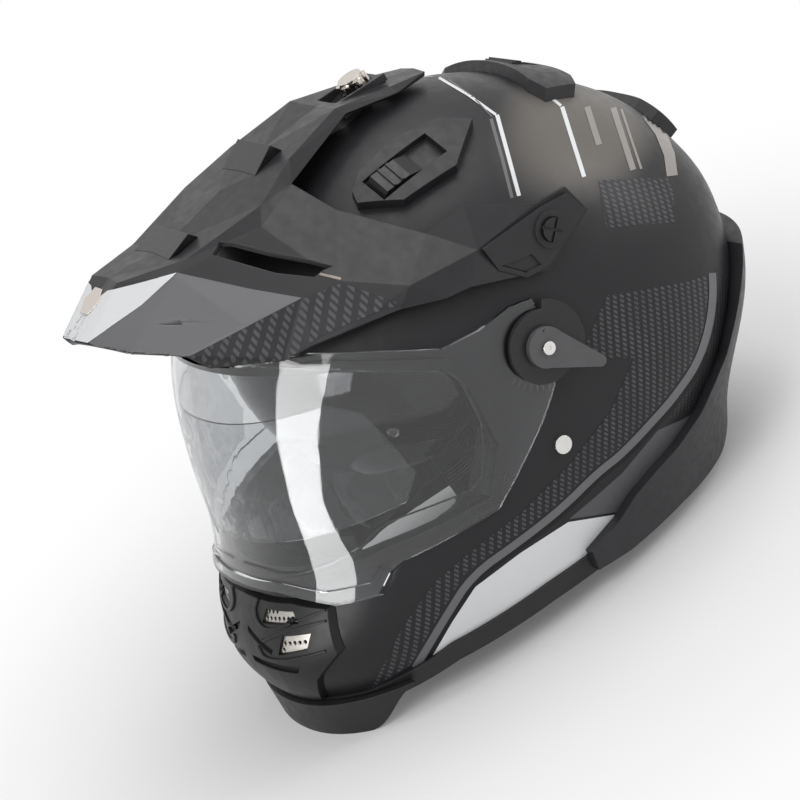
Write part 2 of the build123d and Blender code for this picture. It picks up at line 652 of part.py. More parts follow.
def fog_pins():
    """Two pins inside the shield that hold the anti-fog insert by its ends."""
    pin = across(FOG_PIN_RADIUS, 0, WIDE, -FOG_PIN_REACH, FOG_PIN_HEIGHT)
    pin = only_solid((pin & form(-SHIELD_GAP)) - form(-SHIELD_GAP + FOG_PIN_LENGTH))
    return Compound(children=[pin, other_side(pin)])


BASE_TOP = SHELL_HALF_WIDTH + SHIELD_GAP - 4 * SEAT_GAP
POD_UNDER = SHELL_HALF_WIDTH + SHIELD_GAP + SHIELD_THICKNESS + SEAT_GAP
POD_TOP = POD_UNDER + POD_THICKNESS
LEVER_UNDER = POD_TOP + SEAT_GAP
LEVER_TOP = LEVER_UNDER + LEVER_THICKNESS


def pivot_base():
    """Boss on the shell's side that the shield's hub turns on."""
    base = across(BASE_RADIUS, SHELL_HALF_WIDTH - OVERRUN, BASE_TOP, 0, PIVOT_HEIGHT)
    base += across(HUB_BOSS_RADIUS, BASE_TOP, POD_UNDER, 0, PIVOT_HEIGHT)
    base -= across(SCREW_RADIUS, 0, WIDE, 0, PIVOT_HEIGHT)
    return only_solid(base - form(0))


def sector(radius, start, stop, low_x, high_x):
    """Pie slice across the pivot axis, with angles up from +Y."""
    steps = max(2, int((stop - start) / SECTOR_STEP))
    points = [(0, PIVOT_HEIGHT)]
    for step in range(steps + 1):
        turn = radians(start + (stop - start) * step / steps)
        points.append((radius * cos(turn), PIVOT_HEIGHT + radius * sin(turn)))
    return side_prism(points, low_x, high_x)


def shield_pod():
    """Dark cover over the shield's hub, walled down to the shell at the rear."""
    pod = across(POD_RADIUS, POD_UNDER, POD_TOP, 0, PIVOT_HEIGHT)
    rear = across(POD_REAR_RADIUS, POD_UNDER, POD_TOP, 0, PIVOT_HEIGHT)
    pod += rear & sector(WIDE, POD_WALL_FROM, -POD_WALL_FROM, 0, WIDE)
    ring = across(POD_REAR_RADIUS, SHELL_HALF_WIDTH - OVERRUN, POD_UNDER, 0, PIVOT_HEIGHT)
    ring -= across(POD_REAR_RADIUS - POD_WALL, 0, WIDE, 0, PIVOT_HEIGHT)
    ring &= sector(WIDE, POD_WALL_FROM, POD_WALL_TO, 0, WIDE)
    pod += ring
    pod -= across(SCREW_RADIUS, 0, WIDE, 0, PIVOT_HEIGHT)
    return only_solid(pod - form(0))


def release_lever():
    """Lever on the pivot that frees the shield."""
    turn = radians(LEVER_ANGLE)
    tip_y = (LEVER_LENGTH - LEVER_TIP_RADIUS) * cos(turn)
    tip_z = PIVOT_HEIGHT + (LEVER_LENGTH - LEVER_TIP_RADIUS) * sin(turn)
    lever = across(LEVER_HUB_RADIUS, LEVER_UNDER, LEVER_TOP, 0, PIVOT_HEIGHT)
    tip = across(LEVER_TIP_RADIUS, LEVER_UNDER, LEVER_TOP, tip_y, tip_z)
    side_y, side_z = -sin(turn), cos(turn)
    arm = []
    for y, z, reach in ((0, PIVOT_HEIGHT, LEVER_HUB_RADIUS), (tip_y, tip_z, LEVER_TIP_RADIUS)):
        arm.append([(y + reach * side_y, z + reach * side_z), (y - reach * side_y, z - reach * side_z)])
    points = [arm[0][0], arm[1][0], arm[1][1], arm[0][1]]
    lever = lever + tip + side_prism(points, LEVER_UNDER, LEVER_TOP)
    lever -= across(SCREW_RADIUS + RUNNING_GAP, 0, WIDE, 0, PIVOT_HEIGHT)
    return only_solid(lever)


def pivot_screw():
    """Screw that holds lever, pod and base to the shell."""
    low = SHELL_HALF_WIDTH - SHELL_WALL - FOAM_GAP
    screw = across(SCREW_RADIUS, low, LEVER_TOP + SEAT_GAP, 0, PIVOT_HEIGHT)
    head_top = LEVER_TOP + SEAT_GAP + SCREW_HEAD_HEIGHT
    screw += across(SCREW_HEAD_RADIUS, LEVER_TOP + SEAT_GAP, head_top, 0, PIVOT_HEIGHT)
    screw -= across(SCREW_RADIUS / 2, head_top - SCREW_HEAD_HEIGHT / 2, WIDE, 0, PIVOT_HEIGHT)
    return only_solid(screw)


def ear_x():
    """Distance of the sun visor's ears from the middle, at their outer faces."""
    return VISOR_HALF_WIDTH - VISOR_THICKNESS


def sun_visor():
    """Tinted inner visor, part of a spheroid about its own pins."""
    visor = (visor_spheroid() & side_outline_prism(VISOR_SHARES)) - visor_spheroid(-VISOR_THICKNESS)
    ear = across(VISOR_EAR_RADIUS, ear_x() - VISOR_THICKNESS, ear_x(),
                 -VISOR_AXIS_REACH, VISOR_AXIS_HEIGHT)
    visor = visor + [ear, other_side(ear)]
    visor -= across(VISOR_PIN_RADIUS + RUNNING_GAP, -WIDE, WIDE, -VISOR_AXIS_REACH, VISOR_AXIS_HEIGHT)
    return only_solid(visor)


def visor_pins():
    """Two headed pins inside the shell that carry the sun visor."""
    inner = ear_x() - VISOR_THICKNESS - SEAT_GAP
    place = (-VISOR_AXIS_REACH, VISOR_AXIS_HEIGHT)
    head = across(VISOR_PIN_HEAD, inner - VISOR_THICKNESS, inner, *place)
    pin = across(VISOR_PIN_RADIUS, inner, WIDE, *place)
    shoulder = across(VISOR_PIN_HEAD, VISOR_HALF_WIDTH + SEAT_GAP, WIDE, *place)
    pin = only_solid(((pin + shoulder) & form(SHELL_WALL)) + head)
    return Compound(children=[pin, other_side(pin)])


def visor_slider_track():
    """Track for the sun visor's slider, under the liner inside the left rim."""
    high = SHELL_HALF_WIDTH - SLIDER_INSET
    track = slab((high - SLIDER_WIDTH, -SLIDER_REACH - SLIDER_TRACK_LENGTH / 2, SLIDER_TRACK_FLOOR),
                 (high, -SLIDER_REACH + SLIDER_TRACK_LENGTH / 2, TALL))
    return only_solid(track - above_rim(FOAM_RIM_LIFT - SEAT_GAP))


def visor_slider():
    """Slider that lowers the sun visor, with grip grooves."""
    high = SHELL_HALF_WIDTH - SLIDER_INSET
    top = SLIDER_TRACK_FLOOR - SEAT_GAP
    start = -SLIDER_REACH - SLIDER_TRAVEL / 2 - SLIDER_LENGTH / 2
    body = slab((high - SLIDER_WIDTH, start, top - SLIDER_HEIGHT), (high, start + SLIDER_LENGTH, top))
    grooves = []
    for step in range(1, SLIDER_GROOVES + 1):
        y = start + SLIDER_LENGTH * step / (SLIDER_GROOVES + 1)
        low = top - SLIDER_HEIGHT
        grooves.append(slab((high - SLIDER_WIDTH, y - RIDGE_WIDTH / 2, low),
                            (high, y + RIDGE_WIDTH / 2, low + RIDGE_HEIGHT)))
    return only_solid(body - grooves)


def local_plane(at, normal_shares):
    """Plane on the shell: x runs to the rear along it, z points out of it."""
    normal = Vector(*normal_shares).normalized()
    back = Vector(0, 1, 0) - normal * normal.Y
    return Plane(origin=at, x_dir=back.normalized(), z_dir=normal)


def crown_planes():
    """Planes of the left and right crown vents."""
    left = local_plane(CROWN_VENT_AT, CROWN_VENT_NORMAL_SHARES)
    at = (-CROWN_VENT_AT[0], CROWN_VENT_AT[1], CROWN_VENT_AT[2])
    normal = (-CROWN_VENT_NORMAL_SHARES[0],) + CROWN_VENT_NORMAL_SHARES[1:]
    return [left, local_plane(at, normal)]


def on_plane(plane, length, width, low, high, start):
    """Block on a vent's plane that starts at start along it."""
    return plane * slab((start, -width / 2, low), (start + length, width / 2, high))


def vent_prism(plane, shares, length, width):
    """Prism through the shell over a vent's outline."""
    points = [(a * length, -c * width) for a, c in shares]
    face = make_face(Polyline(*points, close=True))
    return plane * Pos(0, 0, -OVERRUN) * extrude(face, amount=2 * OVERRUN)


POCKET_START = -VENT_BUTTON_LENGTH - VENT_FLOOR
BUTTON_START = POCKET_START + VENT_FLOOR


def vent_hole(plane):
    """Air hole through the shell under a crown vent's button."""
    start = BUTTON_START
    return on_plane(plane, VENT_HOLE_LENGTH, VENT_HOLE_WIDTH, -OVERRUN, OVERRUN, start)


def crown_vent():
    """Housing of the left crown vent."""
    plane = crown_planes()[0]
    outline = vent_prism(plane, CROWN_VENT_SHARES, CROWN_VENT_LENGTH, CROWN_VENT_WIDTH)
    pocket = on_plane(plane, VENT_POCKET_LENGTH, VENT_POCKET_WIDTH, VENT_FLOOR, OVERRUN, POCKET_START)
    vent = (form(-VENT_STAND_OFF) & outline) - [form(0), pocket, vent_hole(plane)]
    return only_solid(vent)


def vent_button(plane, length, width, start):
    """Sliding button with two grip ridges."""
    height = VENT_BUTTON_HEIGHT
    points = [(a * length, c * height) for a, c in BUTTON_SHARES]
    face = Plane.XZ * make_face(Polyline(*points, close=True))
    body = Pos(0, width / 2, 0) * extrude(face, amount=width)
    for share in BUTTON_RIDGE_SHARES:
        x = length * share
        body += slab((x, -width / 2, height / 2), (x + RIDGE_WIDTH, width / 2, height + RIDGE_HEIGHT))
    return only_solid(plane * Pos(start, 0, VENT_FLOOR + SEAT_GAP) * body)


def crown_button():
    """Button of the left crown vent."""
    return vent_button(crown_planes()[0], VENT_BUTTON_LENGTH, VENT_BUTTON_WIDTH, BUTTON_START)


def top_plane():
    """Plane of the rear top vent."""
    return local_plane(TOP_VENT_AT, TOP_VENT_NORMAL_SHARES)


def top_vent():
    """Housing of the rear top vent."""
    plane = top_plane()
    outline = vent_prism(plane, TOP_VENT_SHARES, TOP_VENT_LENGTH, TOP_VENT_WIDTH)
    pocket = on_plane(plane, TOP_POCKET_LENGTH, TOP_POCKET_WIDTH, VENT_FLOOR, OVERRUN,
                      -TOP_POCKET_LENGTH / 2)
    return only_solid((form(-VENT_STAND_OFF) & outline) - [form(0), pocket])


def top_button():
    """Button of the rear top vent."""
    start = -TOP_POCKET_LENGTH / 2 + VENT_FLOOR
    return vent_button(top_plane(), TOP_BUTTON_LENGTH, TOP_BUTTON_WIDTH, start)


def exhaust_slots(length, middle, height):
    """Two blocks side by side on the rear exhaust's plane."""
    plane = local_plane(EXHAUST_AT, EXHAUST_NORMAL_SHARES)
    slots = []
    for place in (-1, 1):
        at = plane * Pos(middle, place * EXHAUST_PITCH / 2, 0)
        slots.append(at * Box(length, EXHAUST_SLOT_LENGTH, height))
    return slots


def exhaust_holes():
    """Air holes through the shell under the rear exhaust."""
    return exhaust_slots(EXHAUST_SLOT_HEIGHT, 0, 2 * OVERRUN)


def rear_exhaust():
    """Spoiler over the rear air holes, open at its lower edge."""
    plane = local_plane(EXHAUST_AT, EXHAUST_NORMAL_SHARES)
    outline = vent_prism(plane, EXHAUST_SHARES, EXHAUST_LENGTH, EXHAUST_WIDTH)
    body = (form(-EXHAUST_STAND_OFF) & outline) - form(0)
    duct = form(-EXHAUST_STAND_OFF + EXHAUST_ROOF)
    ways = exhaust_slots(EXHAUST_LENGTH, EXHAUST_LENGTH / 2 - EXHAUST_SLOT_HEIGHT / 2, 2 * OVERRUN)
    return only_solid(body - [way & duct for way in ways])


def peak_points():
    """Vertices of the peak's outer skin, both sides."""
    points = {}
    for name, (x, y, z) in PEAK_SHARES.items():
        place = Vector(x * SHELL_HALF_WIDTH, y * CHIN_REACH, z * SHELL_HEIGHT)
        points[name] = place
        if x > 0:
            points["right_" + name] = Vector(-place.X, place.Y, place.Z)
    return points


def peak_triangles():
    """Triangles of the peak's outer skin, both sides, by vertex name."""
    triangles = []
    for face in PEAK_FACES:
        for second, third in zip(face[1:], face[2:]):
            triangles.append((face[0], second, third))
    right = []
    for triangle in triangles:
        right.append(tuple("right_" + n if PEAK_SHARES[n][0] > 0 else n for n in triangle))
    return triangles + right


def faceted_skin(points, triangles, thickness):
    """Closed solid of one thickness under a skin of triangles."""
    inside = Vector(0, 0, PIVOT_HEIGHT)
    facing = []
    normals = {name: Vector(0, 0, 0) for name in points}
    for a, b, c in triangles:
        normal = (points[b] - points[a]).cross(points[c] - points[a])
        if normal.dot((points[a] + points[b] + points[c]) * (1 / 3) - inside) < 0:
            b, c = c, b
            normal = normal * -1
        facing.append((a, b, c))
        for name in (a, b, c):
            normals[name] = normals[name] + normal.normalized()
    lower = {name: points[name] - normals[name].normalized() * thickness for name in points}
    edges = {}
    faces = []
    for a, b, c in facing:
        faces.append(Face(Wire.make_polygon([points[a], points[b], points[c]])))
        faces.append(Face(Wire.make_polygon([lower[a], lower[c], lower[b]])))
        for first, second in ((a, b), (b, c), (c, a)):
            edges[(first, second)] = edges.get((first, second), 0) + 1
    for first, second in edges:
        if (second, first) not in edges:
            faces.append(Face(Wire.make_polygon([points[first], lower[first], lower[second]])))
            faces.append(Face(Wire.make_polygon([points[first], lower[second], points[second]])))
    return Solid(Shell(faces))


def peak_axis():
    """Place of the peak's axis along Y and Z."""
    return PEAK_AXIS_REACH, PEAK_AXIS_HEIGHT


def around_axis(radius, y):
    """Height of an arc about the peak's axis at one y."""
    return PEAK_AXIS_HEIGHT + (radius ** 2 - (y - PEAK_AXIS_REACH) ** 2) ** 0.5


def well_outline(low_radius, top_heights):
    """Side outline between an arc about the peak's axis and a top line."""
    start = WELL_FRONT_SHARE * CHIN_REACH
    stop = WELL_BACK_SHARE * CHIN_REACH
    points = [(start, top_heights[0]), (stop, top_heights[1])]
    for step in range(WELL_STEPS + 1):
        y = stop + (start - stop) * step / WELL_STEPS
        points.append((y, around_axis(low_radius, y)))
    return points


def peak_shell():
    """Faceted peak with air slots, side plates and the knob's well in its tab."""
    points = peak_points()
    peak = faceted_skin(points, peak_triangles(), PEAK_SKIN)
    front, back = points["floor_4"], points["floor_5"]
    slope = (back.Z - front.Z) / (back.Y - front.Y)
    tops = []
    for share in (WELL_FRONT_SHARE, WELL_BACK_SHARE):
        tops.append(front.Z + slope * (share * CHIN_REACH - front.Y) - LAP)
    outer = WELL_HALF_WIDTH + WELL_WALL
    floor_top = WELL_FLOOR_RADIUS + WELL_FLOOR_THICKNESS
    tops[1] = max(tops[1], around_axis(floor_top, WELL_BACK_SHARE * CHIN_REACH) + WELL_WALL)
    block = side_prism(well_outline(WELL_FLOOR_RADIUS, tops), -outer, outer)
    pocket = side_prism(well_outline(floor_top, [TALL, TALL]), -WELL_HALF_WIDTH, WELL_HALF_WIDTH)
    y = KNOB_AT_SHARE * CHIN_REACH
    half = STUD_RADIUS + STUD_SLOT_GAP
    slot = slab((-half, y - half - STUD_SLOT_FRONT, 0), (half, y + STUD_SLOT_BACK, TALL))
    under = across(WELL_FLOOR_RADIUS, -WELL_HALF_WIDTH, WELL_HALF_WIDTH, *peak_axis())
    under &= slab((-WIDE, WELL_FRONT_SHARE * CHIN_REACH, 0), (WIDE, WELL_BACK_SHARE * CHIN_REACH, TALL))
    cutters = [pocket, slot, under]
    for shares in (LONG_SLOT_SHARES, SHORT_SLOT_SHARES):
        cut = plan_prism(shares)
        cutters += [cut, other_side(cut)]
    cutters.append(across(SIDE_SHANK_RADIUS + RUNNING_GAP, -WIDE, WIDE, *peak_axis()))
    return only_solid((peak + block) - cutters)


PLATE_X = PEAK_PLATE_X_SHARE * SHELL_HALF_WIDTH


def peak_insert():
    """Trim plate on the peak's left side, with a pocket and the screw's ring."""
    top = PLATE_X + INSERT_THICKNESS
    insert = side_prism(side_points(INSERT_SHARES), PLATE_X, top)
    insert += across(INSERT_RING_RADIUS, PLATE_X, top + INSERT_RING_HEIGHT, *peak_axis())
    pocket = side_prism(side_points(INSERT_POCKET_SHARES), top - INSERT_THICKNESS / 2, WIDE)
    seat = across(SIDE_SCREW_RADIUS + SEAT_GAP, top, WIDE, *peak_axis())
    bore = across(SIDE_SHANK_RADIUS + RUNNING_GAP, 0, WIDE, *peak_axis())
    under = faceted_skin(peak_points(), peak_triangles(), PEAK_SKIN)
    return only_solid(insert - [pocket, seat, bore, under])


def peak_mounts():
    """Two bosses on the shell's sides that carry the peak."""
    high = PLATE_X - PEAK_SKIN - SEAT_GAP
    boss = across(SIDE_BOSS_RADIUS, SHELL_HALF_WIDTH / 2, high, *peak_axis())
    bore = across(SIDE_SHANK_RADIUS + RUNNING_GAP, 0, WIDE, *peak_axis())
    boss = only_solid(boss - [bore, form(0)])
    return Compound(children=[boss, other_side(boss)])


def side_screw():
    """Hand screw of the peak's left side, with crossed coin slots."""
    low = PLATE_X + INSERT_THICKNESS + SEAT_GAP
    top = low + SIDE_SCREW_HEIGHT
    screw = across(SIDE_SCREW_RADIUS, low, top, *peak_axis())
    grooves = []
    for turn in (COIN_SLOT_TURN, -COIN_SLOT_TURN):
        groove = Box(2 * COIN_SLOT_DEPTH, 3 * SIDE_SCREW_RADIUS, COIN_SLOT_WIDTH)
        grooves.append(Pos(top, *peak_axis()) * Rot(turn, 0, 0) * groove)
    shank = across(SIDE_SHANK_RADIUS, PLATE_X - PEAK_SKIN - SIDE_SHANK_LENGTH, low, *peak_axis())
    return only_solid((screw - grooves) + shank)


def knob_plane():
    """Plane of the knob's foot: z runs out from the peak's axis."""
    y = KNOB_AT_SHARE * CHIN_REACH
    radius = WELL_FLOOR_RADIUS + WELL_FLOOR_THICKNESS + SEAT_GAP
    z = around_axis(radius, y)
    normal = Vector(0, y - PEAK_AXIS_REACH, z - PEAK_AXIS_HEIGHT).normalized()
    return Plane(origin=(0, y, z), x_dir=(1, 0, 0), z_dir=normal)


def peak_knob():
    """Lobed thumb knob that clamps the peak's tab."""
    core = KNOB_RADIUS - KNOB_LOBE_RADIUS
    grip = KNOB_HEIGHT * KNOB_GRIP_SHARE
    knob = Pos(0, 0, KNOB_HEIGHT / 2) * Cylinder(core + KNOB_LOBE_RADIUS / 4, KNOB_HEIGHT)
    lobes = []
    for lobe in range(KNOB_LOBES):
        turn = 2 * pi * lobe / KNOB_LOBES
        lobes.append(Pos(core * cos(turn), core * sin(turn), grip / 2) * Cylinder(KNOB_LOBE_RADIUS, grip))
    bore = Cylinder(STUD_RADIUS + RUNNING_GAP, KNOB_HEIGHT)
    return only_solid(knob_plane() * ((knob + lobes) - bore))


def knob_stud():
    """Stud that stands up from a foot on the shell's crown into the knob."""
    plane = knob_plane()
    reach = WELL_FLOOR_RADIUS / 2
    stud = plane * slab((-OVERRUN, -OVERRUN, -reach), (OVERRUN, OVERRUN, KNOB_HEIGHT / 2 - SEAT_GAP))
    stud &= plane * Cylinder(STUD_RADIUS, 2 * reach)
    foot = plane * Cylinder(STUD_FOOT_RADIUS, 2 * reach)
    foot &= across(WELL_FLOOR_RADIUS - SEAT_GAP, -OVERRUN, OVERRUN, *peak_axis())
    return only_solid((stud + foot) - form(0))


def peak_scoops():
    """Two air scoops standing in the peak's middle channel."""
    scoops = []
    under = faceted_skin(peak_points(), peak_triangles(), PEAK_SKIN)
    for shares, half in zip(SCOOP_SHARES, SCOOP_HALF_WIDTHS):
        points = side_points(shares)
        body = side_prism(points, -half, half)
        mouth = side_prism([(y + SCOOP_WALL, z - SCOOP_WALL) for y, z in points],
                           SCOOP_WALL - half, half - SCOOP_WALL)
        middle = (points[0][0] + points[1][0]) / 2
        mouth &= slab((-WIDE, points[0][0] - OVERRUN, 0), (WIDE, middle, TALL))
        scoops.append(only_solid(body - [mouth, under]))
    return Compound(children=scoops)


def peak_emblem():
    """Plain six-sided insert on the peak's nose."""
    points = peak_points()
    tip, nose = points["tip"], points["nose"]
    normal = (nose - tip).cross(Vector(-1, 0, 0)).normalized()
    plane = Plane(origin=tip + (nose - tip) * EMBLEM_AT_SHARE, x_dir=(1, 0, 0), z_dir=normal)
    emblem = plane * extrude(RegularPolygon(EMBLEM_RADIUS, EMBLEM_SIDES), amount=EMBLEM_THICKNESS)
    return only_solid(emblem - faceted_skin(points, peak_triangles(), PEAK_SKIN))


def ribbon(points, thickness):
    """Outline of a band of one thickness along a line of points."""
    left, right = [], []
    for index, point in enumerate(points):
        here = Vector(*point)
        before = Vector(*points[max(index - 1, 0)])
        after = Vector(*points[min(index + 1, len(points) - 1)])
        ahead = (after - here).normalized() if index + 1 < len(points) else (here - before).normalized()
        back = (here - before).normalized() if index else ahead
        way = (ahead + back).normalized()
        side = Vector(-way.Y, way.X) * (thickness / 2 / way.dot(ahead))
        left.append((here.X + side.X, here.Y + side.Y))
        right.append((here.X - side.X, here.Y - side.Y))
    return left + right[::-1]


def strap_line(end_shares):
    """Points of a strap along X and Z, from its rivet to its end."""
    return [(x * SHELL_HALF_WIDTH, z * SHELL_HEIGHT) for x, z in STRAP_SHARES + end_shares]


def strap_band(end_shares):
    """Webbing of one side's chin strap."""
    outline = ribbon(strap_line(end_shares), STRAP_THICKNESS)
    face = Plane.XZ.offset(STRAP_AT - STRAP_WIDTH / 2) * make_face(Polyline(*outline, close=True))
    return extrude(face, amount=STRAP_WIDTH) - rivet_hole()


def loop_centre():
    """Centre of the left strap's end loop along X and Z."""
    before, end = [Vector(*p) for p in strap_line(BUCKLE_END_SHARES)[-2:]]
    centre = end + (end - before).normalized() * (LOOP_RADIUS + LOOP_BORE) / 2
    return centre.X, centre.Y


def along(radius, length, x, z):
    """Cylinder along Y, centred on the straps."""
    return Pos(x, -STRAP_AT, z) * Rot(90, 0, 0) * Cylinder(radius, length)


def strap_left():
    """Chin strap of the left side, with the loop that holds the rings."""
    x, z = loop_centre()
    strap = strap_band(BUCKLE_END_SHARES) + along(LOOP_RADIUS, STRAP_WIDTH, x, z)
    return only_solid(strap - along(LOOP_BORE, 2 * STRAP_WIDTH, x, z))


def strap_right():
    """Chin strap of the right side, hanging open."""
    return only_solid(other_side(strap_band(TAIL_END_SHARES)))


def d_rings():
    """Two rings that hang from the left strap's loop."""
    x, z = loop_centre()
    half = RING_WIDTH / 2
    rings = []
    for place in (-1, 1):
        corners = [(-half, 0), (half, 0), (half, -RING_DROP), (-half, -RING_DROP)]
        plane = Plane(origin=(x + place * RING_SPACING, -STRAP_AT, z), x_dir=(0, 1, 0), z_dir=(1, 0, 0))
        radii = [RING_TOP_CORNER, RING_TOP_CORNER, RING_LOW_CORNER, RING_LOW_CORNER]
        path = plane * FilletPolyline(*corners, radius=radii, close=True)
        start = path @ 0
        section = Plane(origin=start, z_dir=path % 0) * Circle(RING_WIRE)
        rings.append(only_solid(sweep(section, path=path)))
    return Compound(children=rings)


def strap_rivets():
    """Two rivets through shell, liner and strap, each with a washer inside."""
    place = (-STRAP_AT, RIVET_AT_HEIGHT)
    strap_inside = STRAP_SHARES[0][0] * SHELL_HALF_WIDTH - STRAP_THICKNESS / 2 - SEAT_GAP
    head = across(RIVET_RADIUS, SHELL_HALF_WIDTH / 2, SHELL_HALF_WIDTH + RIVET_HEIGHT, *place) - form(0)
    shank = across(RIVET_SHANK_RADIUS, strap_inside, SHELL_HALF_WIDTH, *place)
    washer = across(RIVET_RADIUS, strap_inside - RIVET_WASHER_THICKNESS, strap_inside, *place)
    rivet = only_solid(only_solid(head) + [shank, washer])
    return Compound(children=[rivet, other_side(rivet)])


def pair(shape):
    """A shape and its mirror image as one node of two solids."""
    return Compound(children=[shape, other_side(shape)])


def both(name, shape):
    """Left and right nodes of one shape."""
    return {name + "_left": shape, name + "_right": other_side(shape)}


def shell_nodes():
    """Shell, liners, pads and the trim round their edges."""
    nodes = {"outer_shell": outer_shell(), "impact_liner": impact_liner(), "chin_liner": chin_liner()}
    nodes.update({"crown_pad": crown_pad(), "neck_roll": neck_roll(), **both("cheek_pad", cheek_pad())})
    nodes.update({"rim_trim": rim_trim(), "rear_bumper": rear_bumper(), "chin_curtain": chin_curtain()})
    nodes.update({"eyeport_gasket": eyeport_gasket(), "chin_vent_cover": chin_vent_cover()})
    nodes.update({"chin_vent_mesh": chin_vent_mesh(), "breath_guard": breath_guard()})
    return nodes


def shield_nodes():
    """Face shield with its pivots, and the sun visor behind it."""
    nodes = {"face_shield": face_shield(), "fog_insert": fog_insert(), "fog_pins": fog_pins()}
    nodes.update({**both("pivot_base", pivot_base()), **both("shield_pod", shield_pod())})
    nodes.update({**both("release_lever", release_lever()), "pivot_screws": pair(pivot_screw())})
    nodes.update({"sun_visor": sun_visor(), "visor_pins": visor_pins()})
    nodes.update({"visor_slider_track": visor_slider_track(), "visor_slider": visor_slider()})
    return nodes


def vent_nodes():
    """Vents of the crown, the top and the rear."""
    nodes = {**both("crown_vent", crown_vent()), **both("crown_button", crown_button())}
    nodes.update({"top_vent": top_vent(), "top_button": top_button(), "rear_exhaust": rear_exhaust()})
    return nodes


def peak_nodes():
    """Peak with its fixings."""
    nodes = {"peak_shell": peak_shell(), "peak_scoops": peak_scoops(), "peak_emblem": peak_emblem()}
    nodes.update({**both("peak_insert", peak_insert()), **both("side_screw", side_screw())})
    nodes.update({"peak_mounts": peak_mounts(), "knob_stud": knob_stud(), "peak_knob": peak_knob()})
    return nodes


def strap_nodes():
    """Chin straps with their rings and rivets."""
    return {"strap_left": strap_left(), "strap_right": strap_right(), "d_rings": d_rings(),
            "strap_rivets": strap_rivets()}


def main():
    """Build every node, centre the helmet over the origin and write the files."""
    nodes = {**shell_nodes(), **shield_nodes(), **vent_nodes(), **peak_nodes(), **strap_nodes()}
    boxes = [shape.bounding_box() for shape in nodes.values()]
    shift = -(min(box.min.Y for box in boxes) + max(box.max.Y for box in boxes)) / 2
    os.makedirs("parts", exist_ok=True)
    for name, shape in nodes.items():
        export_step(Pos(0, shift, 0) * shape, f"parts/{name}.step")
    print("moved along Y by", round(shift, 3))


if __name__ == "__main__":
    main()
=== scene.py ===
"""Dual sport helmet: finishes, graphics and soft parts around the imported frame.

Metres, in the frame's own axes: +X is the wearer's left, -Y the way the wearer looks, +Z up.
Each sub-assembly is a class that makes and dresses its own pieces.
"""

import logging
from dataclasses import dataclass
from enum import Enum
from functools import cache, reduce
from itertools import product
from math import atan2, ceil, cos, hypot, pi, radians, sin
from typing import Any, Sequence

import bpy
import numpy as np
from mathutils import Matrix, Vector
from mathutils.bvhtree import BVHTree
from mathutils.geometry import delaunay_2d_cdt


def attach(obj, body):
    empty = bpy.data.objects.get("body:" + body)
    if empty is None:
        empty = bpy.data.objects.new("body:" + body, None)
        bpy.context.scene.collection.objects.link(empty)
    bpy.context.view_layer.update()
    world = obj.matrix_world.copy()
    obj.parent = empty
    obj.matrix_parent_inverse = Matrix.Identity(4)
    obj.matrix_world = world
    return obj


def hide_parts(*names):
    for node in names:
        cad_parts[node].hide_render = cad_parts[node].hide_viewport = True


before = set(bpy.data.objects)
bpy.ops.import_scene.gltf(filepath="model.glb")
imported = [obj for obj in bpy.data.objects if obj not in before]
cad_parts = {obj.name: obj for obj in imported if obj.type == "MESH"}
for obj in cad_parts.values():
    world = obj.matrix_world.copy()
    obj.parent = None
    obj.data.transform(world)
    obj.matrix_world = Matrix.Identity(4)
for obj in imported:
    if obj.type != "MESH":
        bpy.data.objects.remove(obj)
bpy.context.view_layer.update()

Pixel = tuple[float, float]
Flat = tuple[float, float]
Place = tuple[float, float, float]
Rgb = tuple[float, float, float]
Span = tuple[float, float]
Value = Any
Socket = bpy.types.NodeSocket
Material = bpy.types.Material
Thing = bpy.types.Object

PHOTO_SIZE = 800.0
WHITE: Rgb = (1.0, 1.0, 1.0)
MIDDLE: Place = (0.0, 0.0, 0.13)
LOG = logging.getLogger("helmet")


class Ray(Enum):
    """Kinds of rays that shaders tell apart, by Blender's names."""

    CAMERA = "Is Camera Ray"
    SHADOW = "Is Shadow Ray"
    DIFFUSE = "Is Diffuse Ray"
    GLOSSY = "Is Glossy Ray"
    THROUGH = "Is Transmission Ray"


